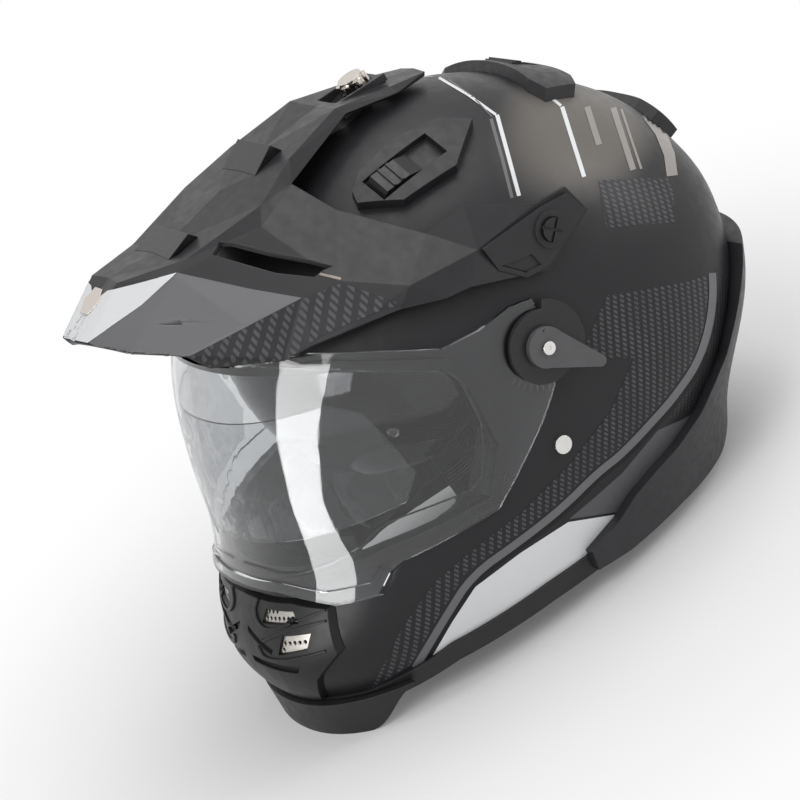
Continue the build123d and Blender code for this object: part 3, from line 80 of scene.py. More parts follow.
class Graph:
    """Node tree of a material, or of the world, while it is put together."""

    noise_span: Span = (0.3, 0.7)
    edge_span: Span = (0.995, 0.90)
    edge_samples: int = 4

    def __init__(self, holder: bpy.types.ID, output: str = "ShaderNodeOutputMaterial") -> None:
        """Empty a tree and give it its output.

        Args:
            holder: The material or world.
            output: Blender's name of the output node.
        """
        holder.use_nodes = True
        self.holder = holder
        self.tree = holder.node_tree
        self.tree.nodes.clear()
        self.output = self.node(output)

    @classmethod
    def of(cls, name: str) -> "Graph":
        """Graph of a new material."""
        return cls(bpy.data.materials.new(name))

    def feed(self, socket: Socket, value: Value) -> None:
        """Link a socket to another one, or set its plain value.

        Args:
            socket: The input to fill.
            value: An output socket, or a number or colour.
        """
        if isinstance(value, Socket):
            self.tree.links.new(value, socket)
        else:
            socket.default_value = value

    def node(self, kind: str, inputs: dict[str | int, Value] | None = None,
             **settings: Value) -> bpy.types.Node:
        """Add a node.

        Args:
            kind: Blender's name of the node type.
            inputs: Values or sockets by input name or number.
            **settings: Properties of the node itself.

        Returns:
            The new node.
        """
        made = self.tree.nodes.new(kind)
        for key, value in settings.items():
            setattr(made, key, value)
        for key, value in (inputs or {}).items():
            self.feed(made.inputs[key], value)
        return made

    def math(self, operation: str, *values: Value) -> Socket:
        """Result of a Math node."""
        return self.node("ShaderNodeMath", dict(enumerate(values)), operation=operation).outputs[0]

    def blend(self, share: Value, first: Value, second: Value) -> Socket:
        """Two colours mixed, with a share of the second one."""
        return self.node("ShaderNodeMix", {0: share, 6: first, 7: second}, data_type="RGBA").outputs[2]

    def ramp(self, value: Value, low: float, high: float, to_low: float = 0.0,
             to_high: float = 1.0) -> Socket:
        """Value mapped smoothly from low and high to to_low and to_high."""
        steps = dict(enumerate((value, low, high, to_low, to_high)))
        return self.node("ShaderNodeMapRange", steps, interpolation_type="SMOOTHSTEP").outputs[0]

    def place(self) -> Socket:
        """Position on the piece, in metres of the frame at rest."""
        return self.node("ShaderNodeTexCoord").outputs["Object"]

    def axes(self) -> bpy.types.bpy_prop_collection:
        """The position's x, y and z sockets."""
        return self.node("ShaderNodeSeparateXYZ", {"Vector": self.place()}).outputs

    def noise(self, scale: float, detail: float = 3.0) -> Socket:
        """Cloudy noise around 0.5, with so many clouds per metre and octaves of detail."""
        inputs = {"Vector": self.place(), "Scale": scale, "Detail": detail}
        return self.node("ShaderNodeTexNoise", inputs).outputs["Fac"]

    def cells(self, scale: float, **settings: Value) -> bpy.types.Node:
        """Cell texture with so many cells per metre."""
        return self.node("ShaderNodeTexVoronoi", {"Vector": self.place(), "Scale": scale}, **settings)

    def mottled(self, colour: Rgb, clouds: float, dark: float, light: float) -> Socket:
        """Colour between its dark and its light share, in clouds."""
        return self.blend(self.noise(clouds), rgba(colour, dark), rgba(colour, light))

    def uneven(self, scale: float, low: float, high: float) -> Socket:
        """Value that wanders between low and high."""
        return self.ramp(self.noise(scale), *self.noise_span, low, high)

    def bump(self, height: Value, depth: float, normal: Value | None = None, strength: float = 1.0) -> Socket:
        """Turn a height into a bumped normal.

        Args:
            height: Height from 0 to 1.
            depth: Depth in metres.
            normal: Normal to bump, or None for the surface's own.
            strength: Share of the effect.

        Returns:
            The normal's socket.
        """
        inputs = {"Strength": strength, "Distance": depth, "Height": height}
        if normal is not None:
            inputs["Normal"] = normal
        return self.node("ShaderNodeBump", inputs).outputs["Normal"]

    def soft_edge(self, radius: float) -> tuple[Socket, Socket]:
        """Round the piece's edges in its shading.

        Args:
            radius: Radius of the rounding, in metres.

        Returns:
            The rounded normal, and a mask that is 1 on an edge.
        """
        bevel = self.node("ShaderNodeBevel", {"Radius": radius}, samples=self.edge_samples).outputs[0]
        true_normal = self.node("ShaderNodeNewGeometry").outputs["Normal"]
        dot = self.node("ShaderNodeVectorMath", {0: bevel, 1: true_normal}, operation="DOT_PRODUCT")
        return bevel, self.ramp(dot.outputs["Value"], *self.edge_span)

    def rays(self, *kinds: Ray) -> Socket:
        """Mask some kinds of rays.

        Args:
            *kinds: The kinds.

        Returns:
            The socket of a mask that is 1 for them.
        """
        path = self.node("ShaderNodeLightPath")
        return reduce(lambda mask, other: self.math("MAXIMUM", mask, other),
                      [path.outputs[kind.value] for kind in kinds])

    def show(self, shader: Socket) -> bpy.types.ID:
        """Link a shader to the output, and hand the material or world over."""
        self.tree.links.new(shader, self.output.inputs["Surface"])
        return self.holder

    def pick(self, mask: Value, first: Socket, second: Socket) -> bpy.types.ID:
        """Show the first shader where the mask is 0, and the second where it is 1."""
        return self.show(self.node("ShaderNodeMixShader", {0: mask, 1: first, 2: second}).outputs[0])

    def finish(self, **inputs: Value) -> Material:
        """Show a Principled shader, with its inputs named by underscores for spaces."""
        named = {key.replace("_", " "): value for key, value in inputs.items()}
        return self.show(self.node("ShaderNodeBsdfPrincipled", named).outputs[0])


def rgba(colour: Rgb, share: float = 1.0) -> tuple[float, float, float, float]:
    """Colour with full alpha, its brightness multiplied by share."""
    return (colour[0] * share, colour[1] * share, colour[2] * share, 1.0)


@dataclass(frozen=True)
class Lacquer:
    """Matte lacquer with fine orange peel, soft mottling and a painted highlight on its edges."""

    name: str
    colour: Rgb
    roughness: float = 0.40
    dark: float = 0.86
    light: float = 1.14
    # edge_highlight and edge_share: painted highlight on the edges, whose colour is lightened by this factor
    # and mixed in by this share.
    edge_highlight: float = 1.9
    edge_share: float = 0.55
    edge: float = 0.0007
    clouds: float = 30.0
    spots: float = 140.0
    smoother: float = 0.04
    rougher: float = 0.05
    relief: float = 900.0
    octaves: float = 2.0
    depth: float = 0.00004
    strength: float = 0.5
    gloss: float = 0.28

    def build(self) -> Material:
        """Make the material.

        Returns:
            The material.
        """
        graph = Graph.of(self.name)
        rounded, rim = graph.soft_edge(self.edge)
        # Painted highlight: the colour turns lighter where the bevel mask finds an edge.
        lighter_share = graph.math("MULTIPLY", rim, self.edge_share)
        body = graph.blend(lighter_share, self.body(graph), rgba(self.colour, self.edge_highlight))
        rough = graph.uneven(self.spots, self.roughness - self.smoother, self.roughness + self.rougher)
        normal = graph.bump(self.height(graph), self.depth, rounded, self.strength)
        return graph.finish(Base_Color=body, Roughness=rough, Normal=normal, Specular_IOR_Level=self.gloss)

    def body(self, graph: Graph) -> Socket:
        """Mottled colour of the flat parts."""
        return graph.mottled(self.colour, self.clouds, self.dark, self.light)

    def height(self, graph: Graph) -> Socket:
        """Height of the orange peel."""
        return graph.noise(self.relief, self.octaves)


@dataclass(frozen=True)
class ShellLacquer(Lacquer):
    """The shell's lacquer, fading to a lighter warm colour over the upper rear sides, partly the paint's own
    fade and partly a painted broad highlight.
    """

    # Warm fade over the upper rear sides, partly the paint's own and partly a painted broad highlight: its
    # colour, share, centre, reach and span.
    warm_fade_and_highlight: Rgb = WHITE
    fade_and_highlight_share: float = 0.9
    centre: Place = (0.078, 0.118, 0.214)
    reach: Place = (0.060, 0.070, 0.036)
    fade: Span = (1.25, 0.15)

    def body(self, graph: Graph) -> Socket:
        """Mottled colour, mixed with the warm fade and painted highlight around a centre on each side.

        Args:
            graph: The material's graph.

        Returns:
            The colour's socket.
        """
        x, y, z = graph.axes()
        squares = []
        for along, centre, reach in zip((graph.math("ABSOLUTE", x), y, z), self.centre, self.reach):
            part = graph.math("DIVIDE", graph.math("SUBTRACT", along, centre), reach)
            squares.append(graph.math("MULTIPLY", part, part))
        # Painted highlight, partly the paint's own fade: the warm colour's share falls off away from the
        # centre.
        far = graph.math("ADD", graph.math("ADD", squares[0], squares[1]), squares[2])
        fade = graph.math("MULTIPLY", graph.ramp(far, *self.fade), self.fade_and_highlight_share)
        return graph.blend(fade, super().body(graph), rgba(self.warm_fade_and_highlight))


@dataclass(frozen=True)
class Moulded(Lacquer):
    """Moulded plastic or rubber with a fine spark-eroded grain."""

    dark: float = 0.85
    light: float = 1.18
    # Stronger painted highlight on the edges of moulded parts.
    edge_highlight: float = 2.2
    edge_share: float = 0.5
    edge: float = 0.0005
    clouds: float = 70.0
    spots: float = 200.0
    smoother: float = 0.06
    rougher: float = 0.06
    relief: float = 1800.0
    depth: float = 0.00006
    strength: float = 0.35
    gloss: float = 0.35

    def height(self, graph: Graph) -> Socket:
        """Height of the grain."""
        return graph.cells(self.relief).outputs["Distance"]


@dataclass(frozen=True)
class Twill:
    """Printed carbon twill: slanted columns of short dashes under a matte coat."""

    name: str
    ground: Rgb
    dash: Rgb
    column: float = 0.0046
    step: float = 0.0026
    lean: float = 62.0
    start: Span = (0.20, 0.40)
    end: Span = (0.95, 0.75)
    left: Span = (0.04, 0.14)
    right: Span = (0.66, 0.56)
    spots: float = 60.0
    wear: tuple[float, ...] = (0.25, 0.75, 0.65, 1.0)
    depth: float = 0.00006
    strength: float = 0.4
    roughness: float = 0.40
    gloss: float = 0.28

    def build(self) -> Material:
        """Make the material.

        Returns:
            The material.
        """
        graph = Graph.of(self.name)
        _, y, z = graph.axes()
        across, rise = cos(radians(self.lean)), sin(radians(self.lean))
        along = graph.math("ADD", graph.math("MULTIPLY", y, across), graph.math("MULTIPLY", z, rise))
        over = graph.math("SUBTRACT", graph.math("MULTIPLY", y, rise), graph.math("MULTIPLY", z, across))
        column = graph.math("FRACT", graph.math("DIVIDE", over, self.column))
        row = graph.math("FRACT", graph.math("ADD", graph.math("DIVIDE", along, self.step), column))
        tall = graph.math("MULTIPLY", graph.ramp(row, *self.start), graph.ramp(row, *self.end))
        wide = graph.math("MULTIPLY", graph.ramp(column, *self.left), graph.ramp(column, *self.right))
        mask = graph.math("MULTIPLY", tall, wide)
        lighter_share = graph.math("MULTIPLY", mask, graph.ramp(graph.noise(self.spots), *self.wear))
        body = graph.blend(lighter_share, rgba(self.ground), rgba(self.dash))
        normal = graph.bump(mask, self.depth, None, self.strength)
        return graph.finish(Base_Color=body, Roughness=self.roughness, Normal=normal,
                            Specular_IOR_Level=self.gloss)


@dataclass(frozen=True)
class Metal:
    """Bare or plated metal with fine turning marks."""

    name: str
    colour: Rgb
    roughness: float = 0.22
    marks: float = 1400.0
    stretch: Place = (1.0, 0.12, 1.0)
    dark: float = 0.82
    light: float = 1.1
    smoother: float = 0.75
    rougher: float = 1.4
    depth: float = 0.00002
    strength: float = 0.3
    edge: float = 0.0003

    def build(self) -> Material:
        """Make the material.

        Returns:
            The material.
        """
        graph = Graph.of(self.name)
        drawn = graph.node("ShaderNodeMapping", {"Vector": graph.place(), "Scale": self.stretch}).outputs[0]
        lines = graph.node("ShaderNodeTexNoise", {"Vector": drawn, "Scale": self.marks}).outputs["Fac"]
        body = graph.blend(lines, rgba(self.colour, self.dark), rgba(self.colour, self.light))
        rounded, _ = graph.soft_edge(self.edge)
        rough = graph.ramp(lines, *graph.noise_span, self.roughness * self.smoother,
                           self.roughness * self.rougher)
        normal = graph.bump(lines, self.depth, rounded, self.strength)
        return graph.finish(Base_Color=body, Metallic=1.0, Roughness=rough, Normal=normal)


@dataclass(frozen=True)
class Clear:
    """Clear or tinted polycarbonate that lets the lamps' light fall through it."""

    name: str
    colour: Rgb
    shade: Rgb
    clouds: float = 25.0
    dark: float = 0.985
    index: float = 1.46

    def build(self) -> Material:
        """Make the material.

        Returns:
            The material.
        """
        graph = Graph.of(self.name)
        tone = graph.mottled(self.colour, self.clouds, self.dark, 1.0)
        inputs = {"Base Color": tone, "Roughness": 0.0, "IOR": self.index, "Transmission Weight": 1.0}
        glass = graph.node("ShaderNodeBsdfPrincipled", inputs).outputs[0]
        through = graph.node("ShaderNodeBsdfTransparent", {"Color": rgba(self.shade)}).outputs[0]
        return graph.pick(graph.rays(Ray.SHADOW, Ray.DIFFUSE), glass, through)


@dataclass(frozen=True)
class Foam:
    """Beaded foam: fused beads with dark joints between them."""

    name: str
    colour: Rgb
    beads: float = 330.0
    joint: Span = (0.0, 0.10)
    dark: float = 0.45
    depth: float = 0.0003
    strength: float = 0.7
    roughness: float = 0.72

    def build(self) -> Material:
        """Make the material.

        Returns:
            The material.
        """
        graph = Graph.of(self.name)
        cells = graph.cells(self.beads, feature="DISTANCE_TO_EDGE")
        joint = graph.ramp(cells.outputs["Distance"], *self.joint)
        body = graph.blend(joint, rgba(self.colour, self.dark), rgba(self.colour))
        normal = graph.bump(joint, self.depth, None, self.strength)
        return graph.finish(Base_Color=body, Roughness=self.roughness, Normal=normal)


@dataclass(frozen=True)
class Knit:
    """Knitted lining: small staggered loops with a soft sheen."""

    name: str
    colour: Rgb
    loops: float = 620.0
    stagger: float = 0.25
    loop: tuple[float, ...] = (0.15, 0.62, 1.0, 0.0)
    clouds: float = 40.0
    wear: tuple[float, ...] = (0.2, 0.8, 0.55, 1.0)
    dark: float = 0.42
    light: float = 1.35
    depth: float = 0.00035
    strength: float = 0.8
    roughness: float = 0.86
    sheen: Span = (0.35, 0.45)

    def build(self) -> Material:
        """Make the material.

        Returns:
            The material.
        """
        graph = Graph.of(self.name)
        cells = graph.cells(self.loops)
        cells.inputs["Randomness"].default_value = self.stagger
        loop = graph.ramp(cells.outputs["Distance"], *self.loop)
        lighter_share = graph.math("MULTIPLY", loop, graph.ramp(graph.noise(self.clouds), *self.wear))
        body = graph.blend(lighter_share, rgba(self.colour, self.dark), rgba(self.colour, self.light))
        return self.fabric(graph, body, loop)

    def fabric(self, graph: Graph, body: Socket, height: Socket) -> Material:
        """Close the graph of a textile.

        Args:
            graph: The material's graph.
            body: Its colour.
            height: Its relief from 0 to 1.

        Returns:
            The material.
        """
        normal = graph.bump(height, self.depth, None, self.strength)
        return graph.finish(Base_Color=body, Roughness=self.roughness, Normal=normal,
                            Sheen_Weight=self.sheen[0], Sheen_Roughness=self.sheen[1])


@dataclass(frozen=True)
class Woven(Knit):
    """Strap webbing: raised ribs crossed by a fine weft."""

    rib: float = 0.0016
    weft_share: float = 0.62
    slant: float = 0.7
    weave: Span = (-0.8, 0.8)
    dark: float = 0.5
    light: float = 1.6
    depth: float = 0.0003
    roughness: float = 0.7
    sheen: Span = (0.2, 0.4)

    def build(self) -> Material:
        """Make the material.

        Returns:
            The material.
        """
        graph = Graph.of(self.name)
        x, y, z = graph.axes()
        warp = graph.math("SINE", graph.math("MULTIPLY", y, 2 * pi / self.rib))
        fall = graph.math("ADD", z, graph.math("MULTIPLY", x, self.slant))
        weft = graph.math("SINE", graph.math("MULTIPLY", fall, 2 * pi / (self.rib * self.weft_share)))
        weave = graph.ramp(graph.math("MULTIPLY", warp, weft), *self.weave)
        body = graph.blend(weave, rgba(self.colour, self.dark), rgba(self.colour, self.light))
        return self.fabric(graph, body, weave)


class Finish(Enum):
    """Every finish of the helmet."""

    SHELL = ShellLacquer("shell_lacquer", (0.017, 0.017, 0.019), 0.41, 0.88, edge_share=0.5,
                         warm_fade_and_highlight=(0.150, 0.138, 0.126))
    BLACK = Lacquer("black_lacquer", (0.013, 0.013, 0.014))
    PEAK = Lacquer("peak_lacquer", (0.020, 0.020, 0.022))
    WHITE = Lacquer("white_print", (0.74, 0.75, 0.76), 0.34, 0.97, 1.03, 1.0)
    PALE = Lacquer("pale_print", (0.30, 0.28, 0.265), 0.36, 0.94, 1.06, 1.2)
    GREY = Lacquer("grey_print", (0.150, 0.148, 0.155), 0.40, 0.94, 1.06, 1.3)
    SLATE = Lacquer("slate_print", (0.095, 0.094, 0.100), 0.40, 0.94, 1.06, 1.4)
    INK = Lacquer("ink_line", (0.006, 0.006, 0.007), 0.45, 0.95, 1.05, 1.2)
    # Warm painted highlight along the lip of the peak's slot.
    SLOT_HIGHLIGHT = Lacquer("slot_highlight_paint", (0.30, 0.262, 0.225), 0.33, 0.92, 1.08, 1.3)
    CARBON = Twill("carbon_print", (0.016, 0.016, 0.018), (0.085, 0.084, 0.090))
    FINE_CARBON = Twill("fine_carbon_print", (0.009, 0.009, 0.010), (0.050, 0.050, 0.054), 0.0030, 0.0019)
    FLANK_CARBON = Twill("flank_carbon_print", (0.014, 0.014, 0.016), (0.080, 0.079, 0.084), 0.0058, 0.0040,
                         40.0)
    RUBBER = Moulded("edge_rubber", (0.020, 0.020, 0.021), 0.46, relief=1500.0)
    GASKET = Moulded("gasket_rubber", (0.008, 0.008, 0.008), 0.55, relief=1500.0)
    BUMPER = Moulded("bumper_plastic", (0.026, 0.026, 0.029), 0.44)
    MOULDED = Moulded("moulded_plastic", (0.018, 0.018, 0.020), 0.48)
    BUTTON = Moulded("button_plastic", (0.014, 0.014, 0.015), 0.36)
    LEVER = Moulded("lever_plastic", (0.088, 0.087, 0.091), 0.46)
    POD = Moulded("pod_plastic", (0.020, 0.020, 0.021), 0.38)
    SCOOP = Moulded("scoop_plastic", (0.008, 0.008, 0.009), 0.22)
    STEEL = Metal("bright_steel", (0.74, 0.73, 0.71), 0.20)
    GRILLE = Metal("grille_metal", (0.44, 0.42, 0.39), 0.40)
    CHROME = Metal("smoked_chrome", (0.62, 0.57, 0.52), 0.13)
    CLEAR = Clear("clear_shield", (0.80, 0.81, 0.82), (0.90, 0.91, 0.92))
    INSERT = Clear("clear_insert", (0.78, 0.79, 0.80), (0.85, 0.86, 0.87))
    TINT = Clear("smoke_visor", (0.13, 0.13, 0.14), (0.10, 0.10, 0.11))
    FOAM = Foam("beaded_foam", (0.014, 0.014, 0.015))
    KNIT = Knit("knitted_lining", (0.014, 0.014, 0.015))
    WEBBING = Woven("strap_webbing", (0.016, 0.016, 0.017))
    THREAD = Moulded("lock_thread", (0.10, 0.10, 0.105), 0.7, relief=2600.0)

    @cache
    def material(self) -> Material:
        """The finish's material, made at the first call."""
        return self.value.build()


NODE_FINISHES: dict[Finish, tuple[str, ...]] = {
    Finish.SHELL: ("outer_shell", "rear_exhaust"),
    Finish.BLACK: ("chin_vent_cover",),
    Finish.PEAK: ("peak_shell",),
    Finish.FOAM: ("impact_liner", "chin_liner"),
    Finish.RUBBER: ("rim_trim", "chin_curtain"),
    Finish.GASKET: ("eyeport_gasket",),
    Finish.BUMPER: ("rear_bumper",),
    Finish.GRILLE: ("chin_vent_mesh",),
    Finish.MOULDED: ("breath_guard", "pivot_base_left", "pivot_base_right", "visor_pins",
                     "visor_slider_track", "visor_slider", "peak_mounts", "crown_vent_left",
                     "crown_vent_right", "top_vent", "peak_insert_left", "peak_insert_right"),
    Finish.BUTTON: ("crown_button_left", "crown_button_right", "top_button", "side_screw_left",
                    "side_screw_right"),
    Finish.POD: ("shield_pod_left", "shield_pod_right"),
    Finish.LEVER: ("release_lever_left", "release_lever_right"),
    Finish.SCOOP: ("peak_scoops",),
    Finish.CHROME: ("peak_knob", "peak_emblem"),
    Finish.STEEL: ("pivot_screws", "d_rings", "strap_rivets", "knob_stud"),
    Finish.CLEAR: ("face_shield",),
    Finish.INSERT: ("fog_insert", "fog_pins"),
    Finish.TINT: ("sun_visor",),
}


def link(name: str, data: bpy.types.ID) -> Thing:
    """Put a new object into the scene.

    Args:
        name: Its name.
        data: Its mesh, lamp or camera.

    Returns:
        The object.
    """
    thing = bpy.data.objects.new(name, data)
    bpy.context.scene.collection.objects.link(thing)
    return thing


def dress(thing: Thing, finish: Finish) -> None:
    """Give an object one finish."""
    thing.data.materials.clear()
    thing.data.materials.append(finish.material())


def dress_nodes() -> None:
    """Give every rigid node of the frame its finish."""
    for finish, names in NODE_FINISHES.items():
        for name in names:
            dress(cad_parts[name], finish)
    LOG.info("dressed %d nodes", sum(len(names) for names in NODE_FINISHES.values()))


def add_piece(name: str, points: Sequence[Vector], faces: Sequence[Sequence[int]], finish: Finish, body: str,
              smooth: bool = True) -> Thing:
    """Make a mesh piece that rides on a body.

    Args:
        name: The piece's name.
        points: Its vertices in the frame.
        faces: Its faces by vertex index.
        finish: Its finish.
        body: Body that it rides on.
        smooth: Whether it is smooth shaded.

    Returns:
        The new object.
    """
    mesh = bpy.data.meshes.new(name)
    mesh.from_pydata([tuple(point) for point in points], [], [tuple(face) for face in faces])
    mesh.validate()
    mesh.polygons.foreach_set("use_smooth", [smooth] * len(mesh.polygons))
    piece = link(name, mesh)
    dress(piece, finish)
    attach(piece, body)
    return piece


@dataclass(frozen=True)
class PhotoCamera:
    """Camera at the photograph's viewing angle, with the roll that its framing has."""

    place: Place = (1.57367, -0.57250, 0.82735)
    up: Place = (-0.153, 0.591, 0.792)
    back: Place = (0.870, -0.300, 0.392)
    lens_mm: float = 146.9
    sensor_mm: float = 36.0
    farthest: float = 30.0

    def axes(self) -> tuple[Vector, Vector, Vector]:
        """Work out the picture's directions.

        Returns:
            Unit vectors to its right, to its top and back to the camera.
        """
        back = Vector(self.back).normalized()
        right = Vector(self.up).cross(back).normalized()
        return right, back.cross(right), back

    def ray(self, pixel: Pixel) -> tuple[Vector, Vector]:
        """Line of sight through a pixel.

        Args:
            pixel: Place in the photograph, from its upper left corner.

        Returns:
            The line's start and direction.
        """
        right, up, back = self.axes()
        focal = self.lens_mm / self.sensor_mm * PHOTO_SIZE
        across = (pixel[0] - PHOTO_SIZE / 2) / focal
        above = (PHOTO_SIZE / 2 - pixel[1]) / focal
        return Vector(self.place), (right * across + up * above - back).normalized()

    def build(self) -> None:
        """Make the camera and set it as the scene's own."""
        data = bpy.data.cameras.new("photo_camera")
        data.sensor_width = self.sensor_mm
        data.lens = self.lens_mm
        data.clip_end = self.farthest
        camera = link("photo_camera", data)
        turn = Matrix(self.axes()).transposed().to_4x4()
        camera.matrix_world = Matrix.Translation(Vector(self.place)) @ turn
        bpy.context.scene.camera = camera


CAMERA = PhotoCamera()


class Surface:
    """Surfaces of some nodes, to lay outlines on."""

    kept: dict[tuple[str, ...], "Surface"] = {}

    def __init__(self, nodes: tuple[str, ...]) -> None:
        """Read the nodes' meshes.

        Args:
            nodes: Names of the nodes.
        """
        points: list[Vector] = []
        faces: list[list[int]] = []
        for name in nodes:
            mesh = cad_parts[name].data
            first = len(points)
            points += [vertex.co.copy() for vertex in mesh.vertices]
            faces += [[first + index for index in polygon.vertices] for polygon in mesh.polygons]
        self.tree = BVHTree.FromPolygons(points, faces)

    @classmethod
    def of(cls, nodes: tuple[str, ...]) -> "Surface":
        """Surface of some nodes, read at the first call.

        Args:
            nodes: Names of the nodes.

        Returns:
            The surface.
        """
        if nodes not in cls.kept:
            cls.kept[nodes] = cls(nodes)
        return cls.kept[nodes]

    def hit(self, pixel: Pixel, lift: float) -> Vector | None:
        """Point of the surface that a pixel of the photograph shows.

        Args:
            pixel: The pixel.
            lift: Height over the surface.

        Returns:
            The point, or None where the line of sight misses.
        """
        start, way = CAMERA.ray(pixel)
        point, normal, _, _ = self.tree.ray_cast(start, way)
        if point is None:
            return None
        if normal.dot(way) > 0:
            normal = -normal
        return point + normal * lift


def resample(outline: Sequence[Flat], pitch: float) -> list[Flat]:
    """Closed outline with points no further apart than pitch.

    Args:
        outline: Corners of the outline.
        pitch: Largest distance between points.

    Returns:
        The corners and the points between them.
    """
    points: list[Flat] = []
    for index, (x, y) in enumerate(outline):
        next_x, next_y = outline[(index + 1) % len(outline)]
        count = max(1, ceil(hypot(next_x - x, next_y - y) / pitch))
        for step in range(count):
            points.append((x + (next_x - x) * step / count, y + (next_y - y) * step / count))
    return points


def inside(points: np.ndarray, outline: np.ndarray) -> np.ndarray:
    """Which points lie inside a closed outline.

    Args:
        points: Flat points, one a row.
        outline: Corners of the outline, one a row.

    Returns:
        True for each point inside.
    """
    within = np.zeros(len(points), dtype=bool)
    for (x, y), (last_x, last_y) in zip(outline, np.roll(outline, 1, axis=0)):
        if y == last_y:
            continue
        crosses = (y > points[:, 1]) != (last_y > points[:, 1])
        within ^= crosses & (points[:, 0] < (last_x - x) * (points[:, 1] - y) / (last_y - y) + x)
    return within


def fill_outline(outline: Sequence[Flat], pitch: float, clearance: float = 0.45,
                 weld: float = 0.001) -> tuple[list[Flat], list[list[int]]]:
    """Triangulate an outline with evenly spaced points inside it.

    Args:
        outline: Corners of the closed outline.
        pitch: Distance between the points.
        clearance: Least distance of an inner point to the outline's, as a share of the pitch.
        weld: Distance at which points are taken for one, as a share of the pitch.

    Returns:
        The flat points, and the triangles.
    """
    border = np.array(resample(outline, pitch))
    low, high = border.min(axis=0), border.max(axis=0)
    rows, columns = np.meshgrid(np.arange(1, int((high[1] - low[1]) / pitch) + 1),
                                np.arange(1, int((high[0] - low[0]) / pitch) + 1))
    grid = np.stack((low[0] + (columns + rows % 2 / 2) * pitch, low[1] + rows * pitch), -1).reshape(-1, 2)
    grid = grid[inside(grid, border)]
    clear = np.full(len(grid), np.inf)
    for corner in border:
        clear = np.minimum(clear, np.hypot(*(grid - corner).T))
    points = [Vector(point) for point in (*border.tolist(), *grid[clear > pitch * clearance].tolist())]
    loop = [(index, (index + 1) % len(border)) for index in range(len(border))]
    made, _, faces, _, _, _ = delaunay_2d_cdt(points, loop, [], 1, pitch * weld)
    flats = np.array([tuple(point) for point in made])
    middles = np.array([flats[list(face)].mean(axis=0) for face in faces])
    kept = [list(face) for face, within in zip(faces, inside(middles, border)) if within]
    return [tuple(point) for point in flats], kept


def heading(line: Sequence[Flat], index: int) -> Vector:
    """Direction of a line at one of its points."""
    before, after = line[max(index - 1, 0)], line[min(index + 1, len(line) - 1)]
    return Vector((after[0] - before[0], after[1] - before[1])).normalized()


def stroke(line: Sequence[Flat], width: float) -> list[Flat]:
    """Outline of a band of one width along a line.

    Args:
        line: Points of the middle of the band.
        width: The band's width.

    Returns:
        Corners of the band's outline.
    """
    left: list[Flat] = []
    right: list[Flat] = []
    for index, (x, y) in enumerate(line):
        side = heading(line, index) * width / 2
        left.append((x - side.y, y + side.x))
        right.append((x + side.y, y - side.x))
    return left + right[::-1]


def smooth_line(line: Sequence[Flat], rounds: int = 2) -> list[Flat]:
    """Line with its corners cut, its ends kept.

    Args:
        line: Points of the line.
        rounds: How often its corners are cut.

    Returns:
        Points of the smoother line.
    """
    for _ in range(rounds):
        cut = [line[0]]
        for (x, y), (next_x, next_y) in zip(line, line[1:]):
            cut.append((x * 0.75 + next_x * 0.25, y * 0.75 + next_y * 0.25))
            cut.append((x * 0.25 + next_x * 0.75, y * 0.25 + next_y * 0.75))
        line = cut + [line[-1]]
    return list(line)


@dataclass(frozen=True)
class Graphic:
    """Printed or moulded shape that lies on the surface of some nodes."""

    name: str
    outline: Sequence[Pixel]
    finish: Finish
    nodes: tuple[str, ...] = ("outer_shell",)
    body: str = "helmet"
    slot: str = "shell"
    lift: float = 0.00018
    pitch: float = 4.0
    longest: float = 0.020

    def build(self) -> list[Thing]:
        """Make the shape, and its mirror image on the other side.

        Returns:
            The new pieces.
        """
        flats, triangles = fill_outline(self.outline, self.pitch)
        surface = Surface.of(self.nodes)
        hits = [surface.hit(flat, self.lift) for flat in flats]
        kept = []
        for triangle in triangles:
            corners = [hits[index] for index in triangle]
            if any(corner is None for corner in corners):
                continue
            lengths = [(corners[index] - corners[index - 1]).length for index in range(3)]
            if max(lengths) < self.longest:
                kept.append(triangle)
        used = sorted({index for triangle in kept for index in triangle})
        if not used:
            LOG.warning("%s lies on nothing", self.name)
            return []
        order = {index: place for place, index in enumerate(used)}
        points = [hits[index] for index in used]
        faces = [self.facing([order[index] for index in triangle], points) for triangle in kept]
        mirrored = [Vector((-point.x, point.y, point.z)) for point in points]
        turned = [face[::-1] for face in faces]
        far_body = self.body.replace("left", "right")
        return [add_piece(self.name, points, faces, self.finish, self.body),
                add_piece(self.name + "_far", mirrored, turned, self.finish, far_body)]

    def facing(self, face: list[int], points: Sequence[Vector]) -> list[int]:
        """Turn a triangle so that it faces away from the helmet's middle.

        Args:
            face: Its corners by vertex index.
            points: The vertices.

        Returns:
            The corners in their new order.
        """
        a, b, c = (points[index] for index in face)
        outward = (a + b + c) / 3 - Vector(MIDDLE)
        return face if (b - a).cross(c - a).dot(outward) > 0 else face[::-1]


